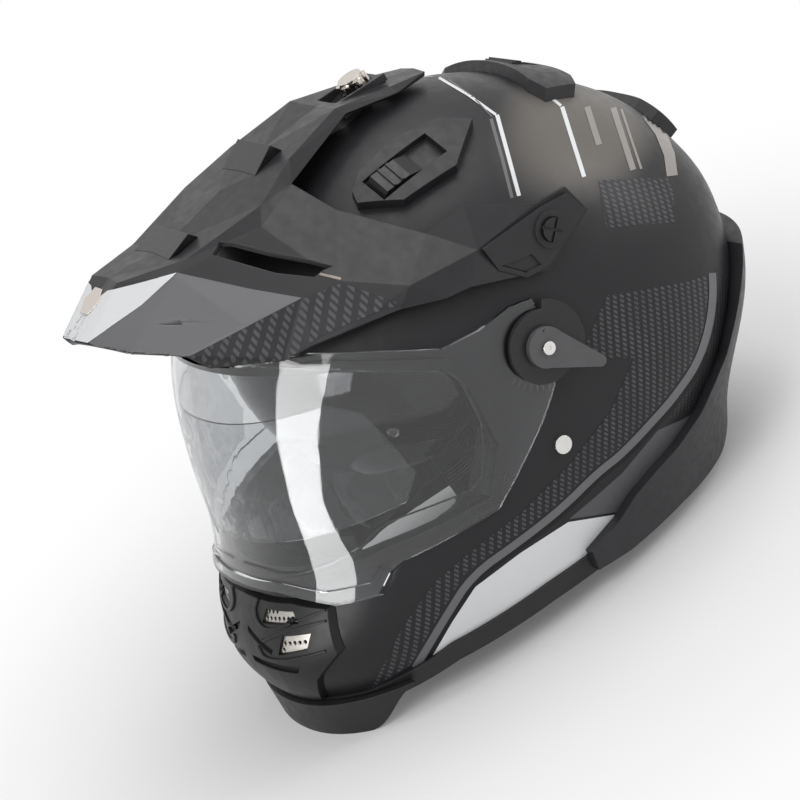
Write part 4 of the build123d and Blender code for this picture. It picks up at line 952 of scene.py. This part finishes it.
STRIPE_LINE: tuple[Pixel, ...] = (
    (712, 273), (713, 295), (709, 328), (697, 364), (676, 394), (661, 412), (622, 454), (598, 472),
    (562, 508), (520, 541), (472, 575), (446, 616), (415, 668),
)
WHITE_PANEL: tuple[Pixel, ...] = (
    (568, 522), (624, 513), (562, 581), (500, 620), (431, 658), (452, 622), (475, 587), (520, 553),
)
SIDE_PANEL: tuple[Pixel, ...] = (
    (569, 519), (596, 496), (622, 473), (658, 430), (683, 419), (715, 400), (726, 402), (724, 412),
    (716, 424), (690, 440), (668, 456), (624, 511),
)
CARBON_PANEL: tuple[Pixel, ...] = (
    (607, 295), (688, 282), (707, 274), (708, 295), (703, 328), (692, 361), (671, 391), (656, 409),
    (618, 450), (594, 468), (557, 504), (515, 537), (466, 572), (441, 612), (410, 665), (371, 689),
    (402, 628), (435, 582), (469, 553), (520, 514), (568, 466), (610, 412), (634, 358), (600, 358),
    (586, 343),
)
REAR_CARBON: tuple[Pixel, ...] = (
    (716, 268), (731, 300), (731, 330), (722, 352), (721, 372), (727, 392), (700, 398), (684, 412),
    (668, 420), (680, 400), (702, 366), (714, 330), (718, 296),
)
TOP_DASHES: tuple[Pixel, ...] = ((598, 180), (672, 178), (675, 222), (606, 228))

PEAK_WHITE: tuple[Pixel, ...] = (
    (64, 338), (95, 301), (108, 291), (136, 284), (177, 273), (142, 305), (88, 343),
)
PEAK_GREY: tuple[Pixel, ...] = (
    (178, 273), (250, 289), (302, 298), (190, 356), (165, 358), (130, 354), (95, 346), (89, 343), (142, 305),
)
PEAK_CARBON: tuple[Pixel, ...] = (
    (190, 357), (250, 325), (310, 296), (342, 283), (404, 305), (384, 309), (321, 336), (285, 361),
    (208, 367),
)
# Painted highlight along the upper lip of the peak's long slot.
SLOT_EDGE_HIGHLIGHT: tuple[Pixel, ...] = ((226, 254), (262, 261), (300, 269), (341, 279))
VIEWPORT_LINE: tuple[Pixel, ...] = (
    (240, 365), (256, 366), (329, 371), (447, 371), (456, 376), (480, 416), (483, 450), (480, 487),
    (436, 504), (390, 521), (375, 531), (356, 553), (320, 568), (287, 576), (256, 567), (242, 562),
)
POD_CENTRE: Pixel = (537.0, 344.0)


BARS: tuple[tuple[str, tuple[Pixel, ...], float, Finish], ...] = (
    ("first_bar_top", ((439, 78), (468, 95), (496, 115)), 2.6, Finish.WHITE),
    ("first_bar_side", ((497, 115), (508, 155), (519, 196)), 4.0, Finish.WHITE),
    ("second_bar_top", ((449, 80), (474, 98), (492, 117)), 1.4, Finish.GREY),
    ("second_bar_side", ((491, 119), (502, 158), (512, 198)), 3.4, Finish.GREY),
    ("third_bar_top", ((519, 77), (540, 89), (561, 106)), 2.8, Finish.WHITE),
    ("third_bar_side", ((562, 107), (573, 142), (584, 177)), 4.2, Finish.WHITE),
    ("fourth_bar", ((587, 107), (593, 126), (599, 145)), 6.0, Finish.PALE),
    ("fifth_bar", ((613, 108), (623, 139), (633, 170)), 6.0, Finish.PALE),
    ("sixth_bar", ((621, 109), (631, 139), (641, 169)), 2.4, Finish.PALE),
    ("wide_bar", ((646, 113), (660, 132), (669, 154), (672, 176)), 11.0, Finish.PALE),
)


@dataclass
class ShellGraphics:
    """Printed stripes and panels of the shell; widths are in the photograph's pixels."""

    stripe_width: float = 7.5
    shadow_width: float = 3.6
    shadow_reach: float = 6.2

    def build(self) -> None:
        """Lay every print on the shell."""
        line = smooth_line(STRIPE_LINE)
        shadow = stroke(self.beside(line), self.shadow_width)
        layers = [
            Graphic("side_panel", SIDE_PANEL, Finish.SLATE, lift=0.00014),
            Graphic("white_panel", WHITE_PANEL, Finish.WHITE, lift=0.00020),
            Graphic("carbon_panel", CARBON_PANEL, Finish.CARBON, lift=0.00014),
            Graphic("rear_carbon", REAR_CARBON, Finish.FINE_CARBON, lift=0.00012, pitch=3.0),
            Graphic("side_stripe", stroke(line, self.stripe_width), Finish.GREY, lift=0.00026),
            Graphic("stripe_shadow", shadow, Finish.INK, lift=0.00022),
            Graphic("top_dashes", TOP_DASHES, Finish.CARBON, lift=0.00014),
        ]
        layers += [Graphic(name, stroke(line, width), finish, lift=0.00022, pitch=3.0)
                   for name, line, width, finish in BARS]
        for layer in layers:
            layer.build()
        LOG.info("shell graphics: %d layers", len(layers))

    def beside(self, line: Sequence[Pixel]) -> list[Pixel]:
        """Line moved to its lower right by the shadow's reach, without its first quarter.

        Args:
            line: The stripe's middle line.

        Returns:
            Points of the moved line.
        """
        moved = []
        for (x, y), (next_x, next_y) in zip(line, line[1:]):
            way = Vector((next_x - x, next_y - y)).normalized() * self.shadow_reach
            moved.append((x + way.y, y - way.x))
        return moved[len(moved) // 4:]


@dataclass
class PeakGraphics:
    """Panels and a painted highlight along the upper lip of the peak's slot, which move with the peak."""

    white_lift: float = 0.00034
    panel_lift: float = 0.00026
    # Height and width of the painted highlight along the slot's lip.
    highlight_lift: float = 0.00020
    highlight_width: float = 2.6
    pitch: float = 1.8
    longest: float = 0.03

    def build(self) -> None:
        """Lay every print on the peak."""
        layers = [
            ("peak_white_panel", PEAK_WHITE, Finish.WHITE, self.white_lift),
            ("peak_grey_panel", PEAK_GREY, Finish.GREY, self.panel_lift),
            ("peak_carbon_panel", PEAK_CARBON, Finish.FLANK_CARBON, self.panel_lift),
            ("slot_edge_highlight", stroke(SLOT_EDGE_HIGHLIGHT, self.highlight_width), Finish.SLOT_HIGHLIGHT, self.highlight_lift),
        ]
        for name, outline, finish, lift in layers:
            Graphic(name, outline, finish, ("peak_shell",), "peak", "peak", lift, self.pitch,
                    self.longest).build()
        LOG.info("peak graphics: %d layers", len(layers))


@dataclass(frozen=True)
class Rib(Graphic):
    """Raised moulding with straight walls that stands on a surface."""

    height: float = 0.0010
    sink: float = 0.0008
    edge_share: float = 0.3

    def build(self) -> list[Thing]:
        """Make the moulding as a closed solid, and its mirror image on the other side.

        Returns:
            The new pieces.
        """
        pieces = super().build()
        for piece in pieces:
            thick = piece.modifiers.new("wall", "SOLIDIFY")
            thick.thickness = self.height + self.sink
            thick.offset = -1.0
            rounding = piece.modifiers.new("edge", "BEVEL")
            rounding.width = self.height * self.edge_share
            rounding.segments = 2
        return pieces


CHIN_RIBS: tuple[tuple[Pixel, ...], ...] = (
    ((258, 598), (254, 612), (262, 628), (276, 630), (302, 619), (326, 610)),
    ((262, 642), (280, 634), (302, 627), (326, 621)),
    ((258, 646), (264, 658), (282, 661), (304, 657), (326, 651)),
)


@dataclass
class ChinDetails:
    """Ribs of the chin vent cover, and the chin curtain with its ends tapered."""

    rib_width: float = 2.6
    rib_rise: float = 0.0010
    taper_from: float = -0.160
    taper_to: float = -0.134
    curtain_top: float = 0.0185

    def build(self) -> None:
        """Make the ribs and the curtain."""
        for number, line in enumerate(CHIN_RIBS, 1):
            Rib(f"chin_rib_{number}", stroke(smooth_line(line), self.rib_width), Finish.BLACK,
                ("chin_vent_cover",), lift=self.rib_rise, pitch=2.4, longest=0.012).build()
        self.curtain()
        LOG.info("chin details: %d ribs and the curtain", len(CHIN_RIBS))

    def curtain(self) -> None:
        """Make the curtain whose lower edge rises to the rim at both ends."""
        piece = link("chin_curtain_skirt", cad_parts["chin_curtain"].data.copy())
        for vertex in piece.data.vertices:
            share = (vertex.co.y - self.taper_from) / (self.taper_to - self.taper_from)
            share = min(1.0, max(0.0, share))
            share = share * share * (3.0 - 2.0 * share)
            vertex.co.z += max(0.0, self.curtain_top - vertex.co.z) * share
        dress(piece, Finish.RUBBER)
        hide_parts("chin_curtain")
        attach(piece, "helmet")


@dataclass
class ShieldDetails:
    """Moulded lines of the face shield and marks of its release lever; sizes are in pixels."""

    line_width: float = 2.0
    ticks: int = 8
    tick_from: float = 66.0
    tick_to: float = 122.0
    tick_inner: float = 40.5
    tick_outer: float = 47.5
    tick_width: float = 1.6
    mark_width: float = 1.0
    lever_marks: tuple[tuple[Pixel, Pixel], ...] = (((543, 332), (546, 325)), ((531, 356), (528, 363)))

    def build(self) -> None:
        """Make the lines, the ticks and the marks."""
        self.moulding("viewport_line", smooth_line(VIEWPORT_LINE, 1), self.line_width)
        for step in range(self.ticks):
            turn = radians(self.tick_from + (self.tick_to - self.tick_from) * step / (self.ticks - 1))
            ends = [(POD_CENTRE[0] + reach * cos(turn), POD_CENTRE[1] + reach * sin(turn))
                    for reach in (self.tick_inner, self.tick_outer)]
            self.moulding(f"shield_tick_{step + 1}", ends, self.tick_width)
        for number, mark in enumerate(self.lever_marks, 1):
            Graphic(f"lever_mark_{number}", stroke(mark, self.mark_width), Finish.INK,
                    ("release_lever_left",), "lever_left", "lever", lift=0.0001, pitch=3.0).build()
        LOG.info("shield details: %d ticks, %d marks", self.ticks, len(self.lever_marks))

    def moulding(self, name: str, line: Sequence[Pixel], width: float) -> None:
        """Make a line of the shield that moves with it."""
        Graphic(name, stroke(line, width), Finish.INSERT, ("face_shield",), "shield", "clear", lift=0.0004,
                pitch=3.0).build()


@dataclass
class ComfortPad:
    """Padded lining piece in a soft node's place."""

    node: str
    fill: float = 0.7
    seams: tuple[tuple[int, float], ...] = ()
    voxel: float = 0.005
    shrink: float = 0.0022
    cap: float = 0.0030
    pressure: float = 4.0
    frames: int = 20
    cloth_quality: int = 4
    seam_depth: float = 0.0022
    seam_width: float = 0.0028

    def build(self) -> None:
        """Make the pad and let it stand for its node."""
        piece = link(self.node + "_cover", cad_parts[self.node].data.copy())
        remesh = piece.modifiers.new("voxels", "REMESH")
        remesh.mode = "VOXEL"
        remesh.voxel_size = self.voxel
        self.settle(piece)
        self.draw_in(piece)
        self.inflate(piece)
        piece.modifiers.new("rounding", "SUBSURF").levels = 1
        self.settle(piece)
        self.sew(piece)
        dress(piece, Finish.KNIT)
        piece.data.polygons.foreach_set("use_smooth", [True] * len(piece.data.polygons))
        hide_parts(self.node)
        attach(piece, "helmet")
        LOG.info("%s: %d faces", piece.name, len(piece.data.polygons))

    def settle(self, piece: Thing) -> None:
        """Apply every modifier of a piece.

        Args:
            piece: The piece.
        """
        graph = bpy.context.evaluated_depsgraph_get()
        mesh = bpy.data.meshes.new_from_object(piece.evaluated_get(graph))
        piece.modifiers.clear()
        piece.data = mesh

    def shape(self, piece: Thing) -> tuple[np.ndarray, np.ndarray]:
        """Read a piece's vertices.

        Args:
            piece: The piece.

        Returns:
            Their places and their normals, one a row.
        """
        mesh = piece.data
        places = np.empty(3 * len(mesh.vertices))
        normals = np.empty(3 * len(mesh.vertices))
        mesh.vertices.foreach_get("co", places)
        mesh.vertex_normals.foreach_get("vector", normals)
        return places.reshape(-1, 3), normals.reshape(-1, 3)

    def reshape(self, piece: Thing, places: np.ndarray) -> None:
        """Put a piece's vertices at new places."""
        piece.data.vertices.foreach_set("co", places.ravel())
        piece.data.update()

    def draw_in(self, piece: Thing) -> None:
        """Move the surface in, to leave room for the filling."""
        places, normals = self.shape(piece)
        self.reshape(piece, places - normals * self.shrink)

    def inflate(self, piece: Thing) -> None:
        """Swell the cover by a cloth simulation, each point by no more than the cap.

        Args:
            piece: The cover.
        """
        start, _ = self.shape(piece)
        cloth = piece.modifiers.new("cover", "CLOTH")
        cloth.settings.quality = self.cloth_quality
        cloth.settings.use_pressure = True
        cloth.settings.uniform_pressure_force = self.pressure
        cloth.settings.effector_weights.gravity = 0.0
        cloth.point_cache.frame_start = 1
        cloth.point_cache.frame_end = self.frames
        for number in range(1, self.frames + 1):
            bpy.context.scene.frame_set(number)
        self.settle(piece)
        bpy.context.scene.frame_set(1)
        swollen, _ = self.shape(piece)
        moves = swollen - start
        lengths = np.maximum(np.linalg.norm(moves, axis=1, keepdims=True), self.cap / 100)
        self.reshape(piece, start + moves * np.minimum(1.0, self.cap / lengths))

    def sew(self, piece: Thing) -> None:
        """Press the sewn channels into the cover.

        Args:
            piece: The cover.
        """
        places, normals = self.shape(piece)
        for axis, at in self.seams:
            away = (places[:, axis] - at) / self.seam_width
            depth = self.seam_depth * np.maximum(0.0, 1.0 - away * away)
            places -= normals * depth[:, None]
        self.reshape(piece, places)


@dataclass
class Lining:
    """Comfort lining: crown pad, cheek pads and neck roll, with each seam's axis and place."""

    crown_fill: float = 0.6
    fill: float = 0.8
    crown_seams: tuple[tuple[int, float], ...] = ((0, -0.030), (0, 0.030), (1, 0.000), (1, 0.060))
    cheek_seams: tuple[tuple[int, float], ...] = ((1, -0.040), (1, 0.015))
    neck_seams: tuple[tuple[int, float], ...] = ((0, -0.035), (0, 0.0), (0, 0.035))

    def build(self) -> None:
        """Make the four padded pieces."""
        ComfortPad("crown_pad", self.crown_fill, self.crown_seams).build()
        for node in ("cheek_pad_left", "cheek_pad_right"):
            ComfortPad(node, self.fill, self.cheek_seams).build()
        ComfortPad("neck_roll", self.fill, self.neck_seams).build()


BLOCK_FACES = ((0, 1, 3, 2), (4, 6, 7, 5), (0, 4, 5, 1), (2, 3, 7, 6), (0, 2, 6, 4), (1, 5, 7, 3))


@dataclass
class ChinStrap:
    """Webbing of one side's chin strap, along X and Z at one place along Y."""

    node: str
    side: float
    line: tuple[Flat, ...]
    along: float = -0.00574
    width: float = 0.0198
    thickness: float = 0.0018
    loop_radius: float = 0.0052
    looped: bool = False
    edge_share: float = 0.12
    edge_rise: float = 0.45
    loop_steps: int = 20
    loop_turn: float = 1.9 * pi
    tack_rows: int = 5
    tack_stitches: int = 9
    tack_from: float = 0.30
    tack_step: float = 0.08
    stitch_pitch: float = 0.0019
    stitch_half: Place = (0.00018, 0.00028, 0.0007)
    stitch_out: float = 0.52

    def build(self) -> None:
        """Make the webbing, with its end loop where it has one, and its bar tack."""
        line = smooth_line(self.line, 3)
        if self.looped:
            line = line + self.loop(line)
        points, faces = self.sweep(line)
        piece = add_piece(self.node + "_webbing", points, faces, Finish.WEBBING, "helmet")
        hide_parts(self.node)
        self.bar_tack(self.line[-3], self.line[-2])
        LOG.info("%s: %d points along", piece.name, len(line))

    def loop(self, line: Sequence[Flat]) -> list[Flat]:
        """Bend the end loop that holds the rings.

        Args:
            line: The webbing's line up to the loop.

        Returns:
            Points of the loop along X and Z.
        """
        end = Vector(line[-1])
        way = (end - Vector(line[-2])).normalized()
        centre = end + way * self.loop_radius
        start = atan2(-way.y, -way.x)
        turns = [start + self.loop_turn * step / self.loop_steps for step in range(1, self.loop_steps)]
        return [(centre.x + self.loop_radius * cos(turn), centre.y + self.loop_radius * sin(turn))
                for turn in turns]

    def sweep(self, line: Sequence[Flat]) -> tuple[list[Vector], list[list[int]]]:
        """Sweep a flat section with rounded edges along the line.

        Args:
            line: Points along X and Z.

        Returns:
            Vertices and faces.
        """
        section = self.section()
        count = len(section)
        points: list[Vector] = []
        faces: list[list[int]] = []
        for index, (x, z) in enumerate(line):
            way = heading(line, index)
            points += [Vector((self.side * (x - way.y * up), self.along + across, z + way.x * up))
                       for across, up in section]
        for ring, index in product(range(len(line) - 1), range(count)):
            a = ring * count + index
            b = ring * count + (index + 1) % count
            face = [a, b, b + count, a + count]
            faces.append(face if self.side > 0 else face[::-1])
        ends = [list(range(count)), list(range(len(points) - count, len(points)))[::-1]]
        return points, faces + ends

    def section(self) -> list[Flat]:
        """Draw the webbing's cross-section.

        Returns:
            Its corners, across and up.
        """
        half, rise = self.width / 2, self.thickness / 2
        steps = (-1.0, -1.0 + self.edge_share, -0.5, 0.0, 0.5, 1.0 - self.edge_share, 1.0)
        lower = [(half * step, -rise * (self.edge_rise if abs(step) == 1.0 else 1.0)) for step in steps]
        return lower + [(across, -up) for across, up in reversed(lower)]

    def bar_tack(self, start: Flat, end: Flat) -> None:
        """Sew rows of short stitches, small blocks, across the webbing between two points.

        Args:
            start: First point of the sewn stretch.
            end: Its last point.
        """
        first, last = Vector(start), Vector(end)
        way = (last - first).normalized()
        normal = Vector((-way.y, way.x))
        rise, half, reach = self.stitch_half
        points: list[Vector] = []
        faces: list[list[int]] = []
        for row, place, face in product(range(self.tack_rows), range(self.tack_stitches), (-1, 1)):
            middle = first.lerp(last, self.tack_from + self.tack_step * row)
            middle += normal * face * self.thickness * self.stitch_out
            along = self.along + (place - self.tack_stitches // 2) * self.stitch_pitch
            for corner in BLOCK_FACES:
                turned = [len(points) + index for index in corner]
                faces.append(turned if self.side < 0 else turned[::-1])
            for over, step, out in product((-rise, rise), (-half, half), (-reach, reach)):
                spot = middle + normal * over + way * step
                points.append(Vector((self.side * spot.x, along + out, spot.y)))
        add_piece(self.node + "_stitches", points, faces, Finish.THREAD, "helmet", smooth=False)


@dataclass
class Retention:
    """Both chin straps: the stretch that they share, then each one's end."""

    shared: tuple[Flat, ...] = (
        (0.0840, 0.1027), (0.0840, 0.0874), (0.0528, 0.0874), (0.0486, 0.0778), (0.0456, 0.0519),
    )
    left_end: tuple[Flat, ...] = ((0.0258, 0.0333),)
    right_end: tuple[Flat, ...] = ((0.0396, 0.0287), (0.0378, 0.0109))

    def build(self) -> None:
        """Make the looped left strap and the open right one."""
        ChinStrap("strap_left", 1.0, self.shared + self.left_end, looped=True).build()
        ChinStrap("strap_right", -1.0, self.shared + self.right_end).build()


@dataclass
class Studio:
    """Pale floor, white background and soft lamps."""

    half_floor: float = 6.0
    shadow_reach: float = 0.10
    white_from: float = 0.48
    white_near: float = 0.10
    grain: float = 8.0
    grain_levels: tuple[float, float] = (0.84, 0.88)
    sky_level: float = 0.34
    lamps: tuple[tuple[str, Place, float, float, float], ...] = (
        ("key_lamp", (1.1, -1.0, 1.5), 1.1, 1.1, 13.0),
        ("crown_lamp", (0.1, 0.5, 1.7), 1.2, 0.9, 11.0),
        ("rear_lamp", (0.9, 1.4, 0.7), 0.5, 1.1, 8.0),
    )
    target: Place = (0.0, 0.0, 0.15)
    strip_distance: float = -0.80
    strip_corners: tuple[Flat, ...] = ((-0.03, 0.004), (0.22, 0.004), (0.60, 0.62), (0.10, 0.62))
    strip_level: float = 9.0

    def build(self) -> None:
        """Make the stage and the lights."""
        bpy.context.scene.view_settings.view_transform = "Standard"
        self.world()
        self.floor()
        for lamp in self.lamps:
            self.lamp(*lamp)
        self.strip()
        LOG.info("studio: %d lamps", len(self.lamps))

    def seen(self, graph: Graph) -> Socket:
        """Mask the rays that see the background: from the camera, a gloss or a glass.

        Args:
            graph: The graph to add the mask to.

        Returns:
            The mask's socket; it is 0 once a ray has lit a matt surface.
        """
        straight = graph.math("LESS_THAN", graph.node("ShaderNodeLightPath").outputs["Diffuse Depth"], 0.5)
        return graph.math("MULTIPLY", graph.rays(Ray.CAMERA, Ray.GLOSSY, Ray.THROUGH), straight)

    def glow(self, graph: Graph, kind: str, level: float) -> Socket:
        """White light of one level, from a Background or an Emission shader."""
        return graph.node(kind, {"Color": rgba(WHITE), "Strength": level}).outputs[0]

    def world(self) -> None:
        """Make the world: white where it is seen, a plain grey sky where it lights."""
        world = bpy.data.worlds.new("studio_world")
        bpy.context.scene.world = world
        graph = Graph(world, "ShaderNodeOutputWorld")
        sky = self.glow(graph, "ShaderNodeBackground", self.sky_level)
        graph.pick(self.seen(graph), sky, self.glow(graph, "ShaderNodeBackground", 1.0))

    def sheet(self, name: str, corners: Sequence[Place], material: Material) -> None:
        """Make a flat sheet that belongs to the stage.

        Args:
            name: The sheet's name.
            corners: Its four corners.
            material: Its material.
        """
        mesh = bpy.data.meshes.new(name)
        mesh.from_pydata(corners, [], [(0, 1, 2, 3)])
        mesh.materials.append(material)
        link(name, mesh)

    def floor(self) -> None:
        """Make the floor, which turns into the white background away from the helmet."""
        graph = Graph.of("floor_paint")
        away = graph.node("ShaderNodeVectorMath", {0: graph.place()}, operation="LENGTH").outputs["Value"]
        far = graph.ramp(away, self.shadow_reach, self.white_from, self.white_near, 1.0)
        grain = graph.mottled(WHITE, self.grain, *self.grain_levels)
        paper = graph.node("ShaderNodeBsdfDiffuse", {"Color": grain})
        glow = self.glow(graph, "ShaderNodeEmission", 1.0)
        paint = graph.pick(graph.math("MULTIPLY", far, self.seen(graph)), paper.outputs[0], glow)
        half = self.half_floor
        self.sheet("floor", ((-half, -half, 0), (half, -half, 0), (half, half, 0), (-half, half, 0)), paint)

    def lamp(self, name: str, place: Place, width: float, height: float, power: float) -> None:
        """Add a soft lamp that faces the helmet.

        Args:
            name: The lamp's name.
            place: Where it hangs.
            width: Its width.
            height: Its height.
            power: Its power in watts.
        """
        data = bpy.data.lights.new(name, "AREA")
        data.shape = "RECTANGLE"
        data.size, data.size_y, data.energy = width, height, power
        lamp = link(name, data)
        lamp.location = place
        lamp.rotation_euler = (Vector(self.target) - Vector(place)).to_track_quat("-Z", "Y").to_euler()

    def strip(self) -> None:
        """Make the tall strip that only shows as a reflection in glossy surfaces."""
        corners = [(x, self.strip_distance, z) for x, z in self.strip_corners]
        graph = Graph.of("strip_glow")
        clear = graph.node("ShaderNodeBsdfTransparent").outputs[0]
        glow = self.glow(graph, "ShaderNodeEmission", self.strip_level)
        self.sheet("strip_card", corners, graph.pick(graph.rays(Ray.GLOSSY), clear, glow))


def main() -> None:
    """Build the helmet's sub-assemblies in order."""
    logging.basicConfig(level=logging.INFO, format="%(asctime)s %(name)s: %(message)s")
    CAMERA.build()
    Studio().build()
    dress_nodes()
    ShellGraphics().build()
    PeakGraphics().build()
    ChinDetails().build()
    ShieldDetails().build()
    Lining().build()
    Retention().build()


if __name__ == "__main__":
    main()
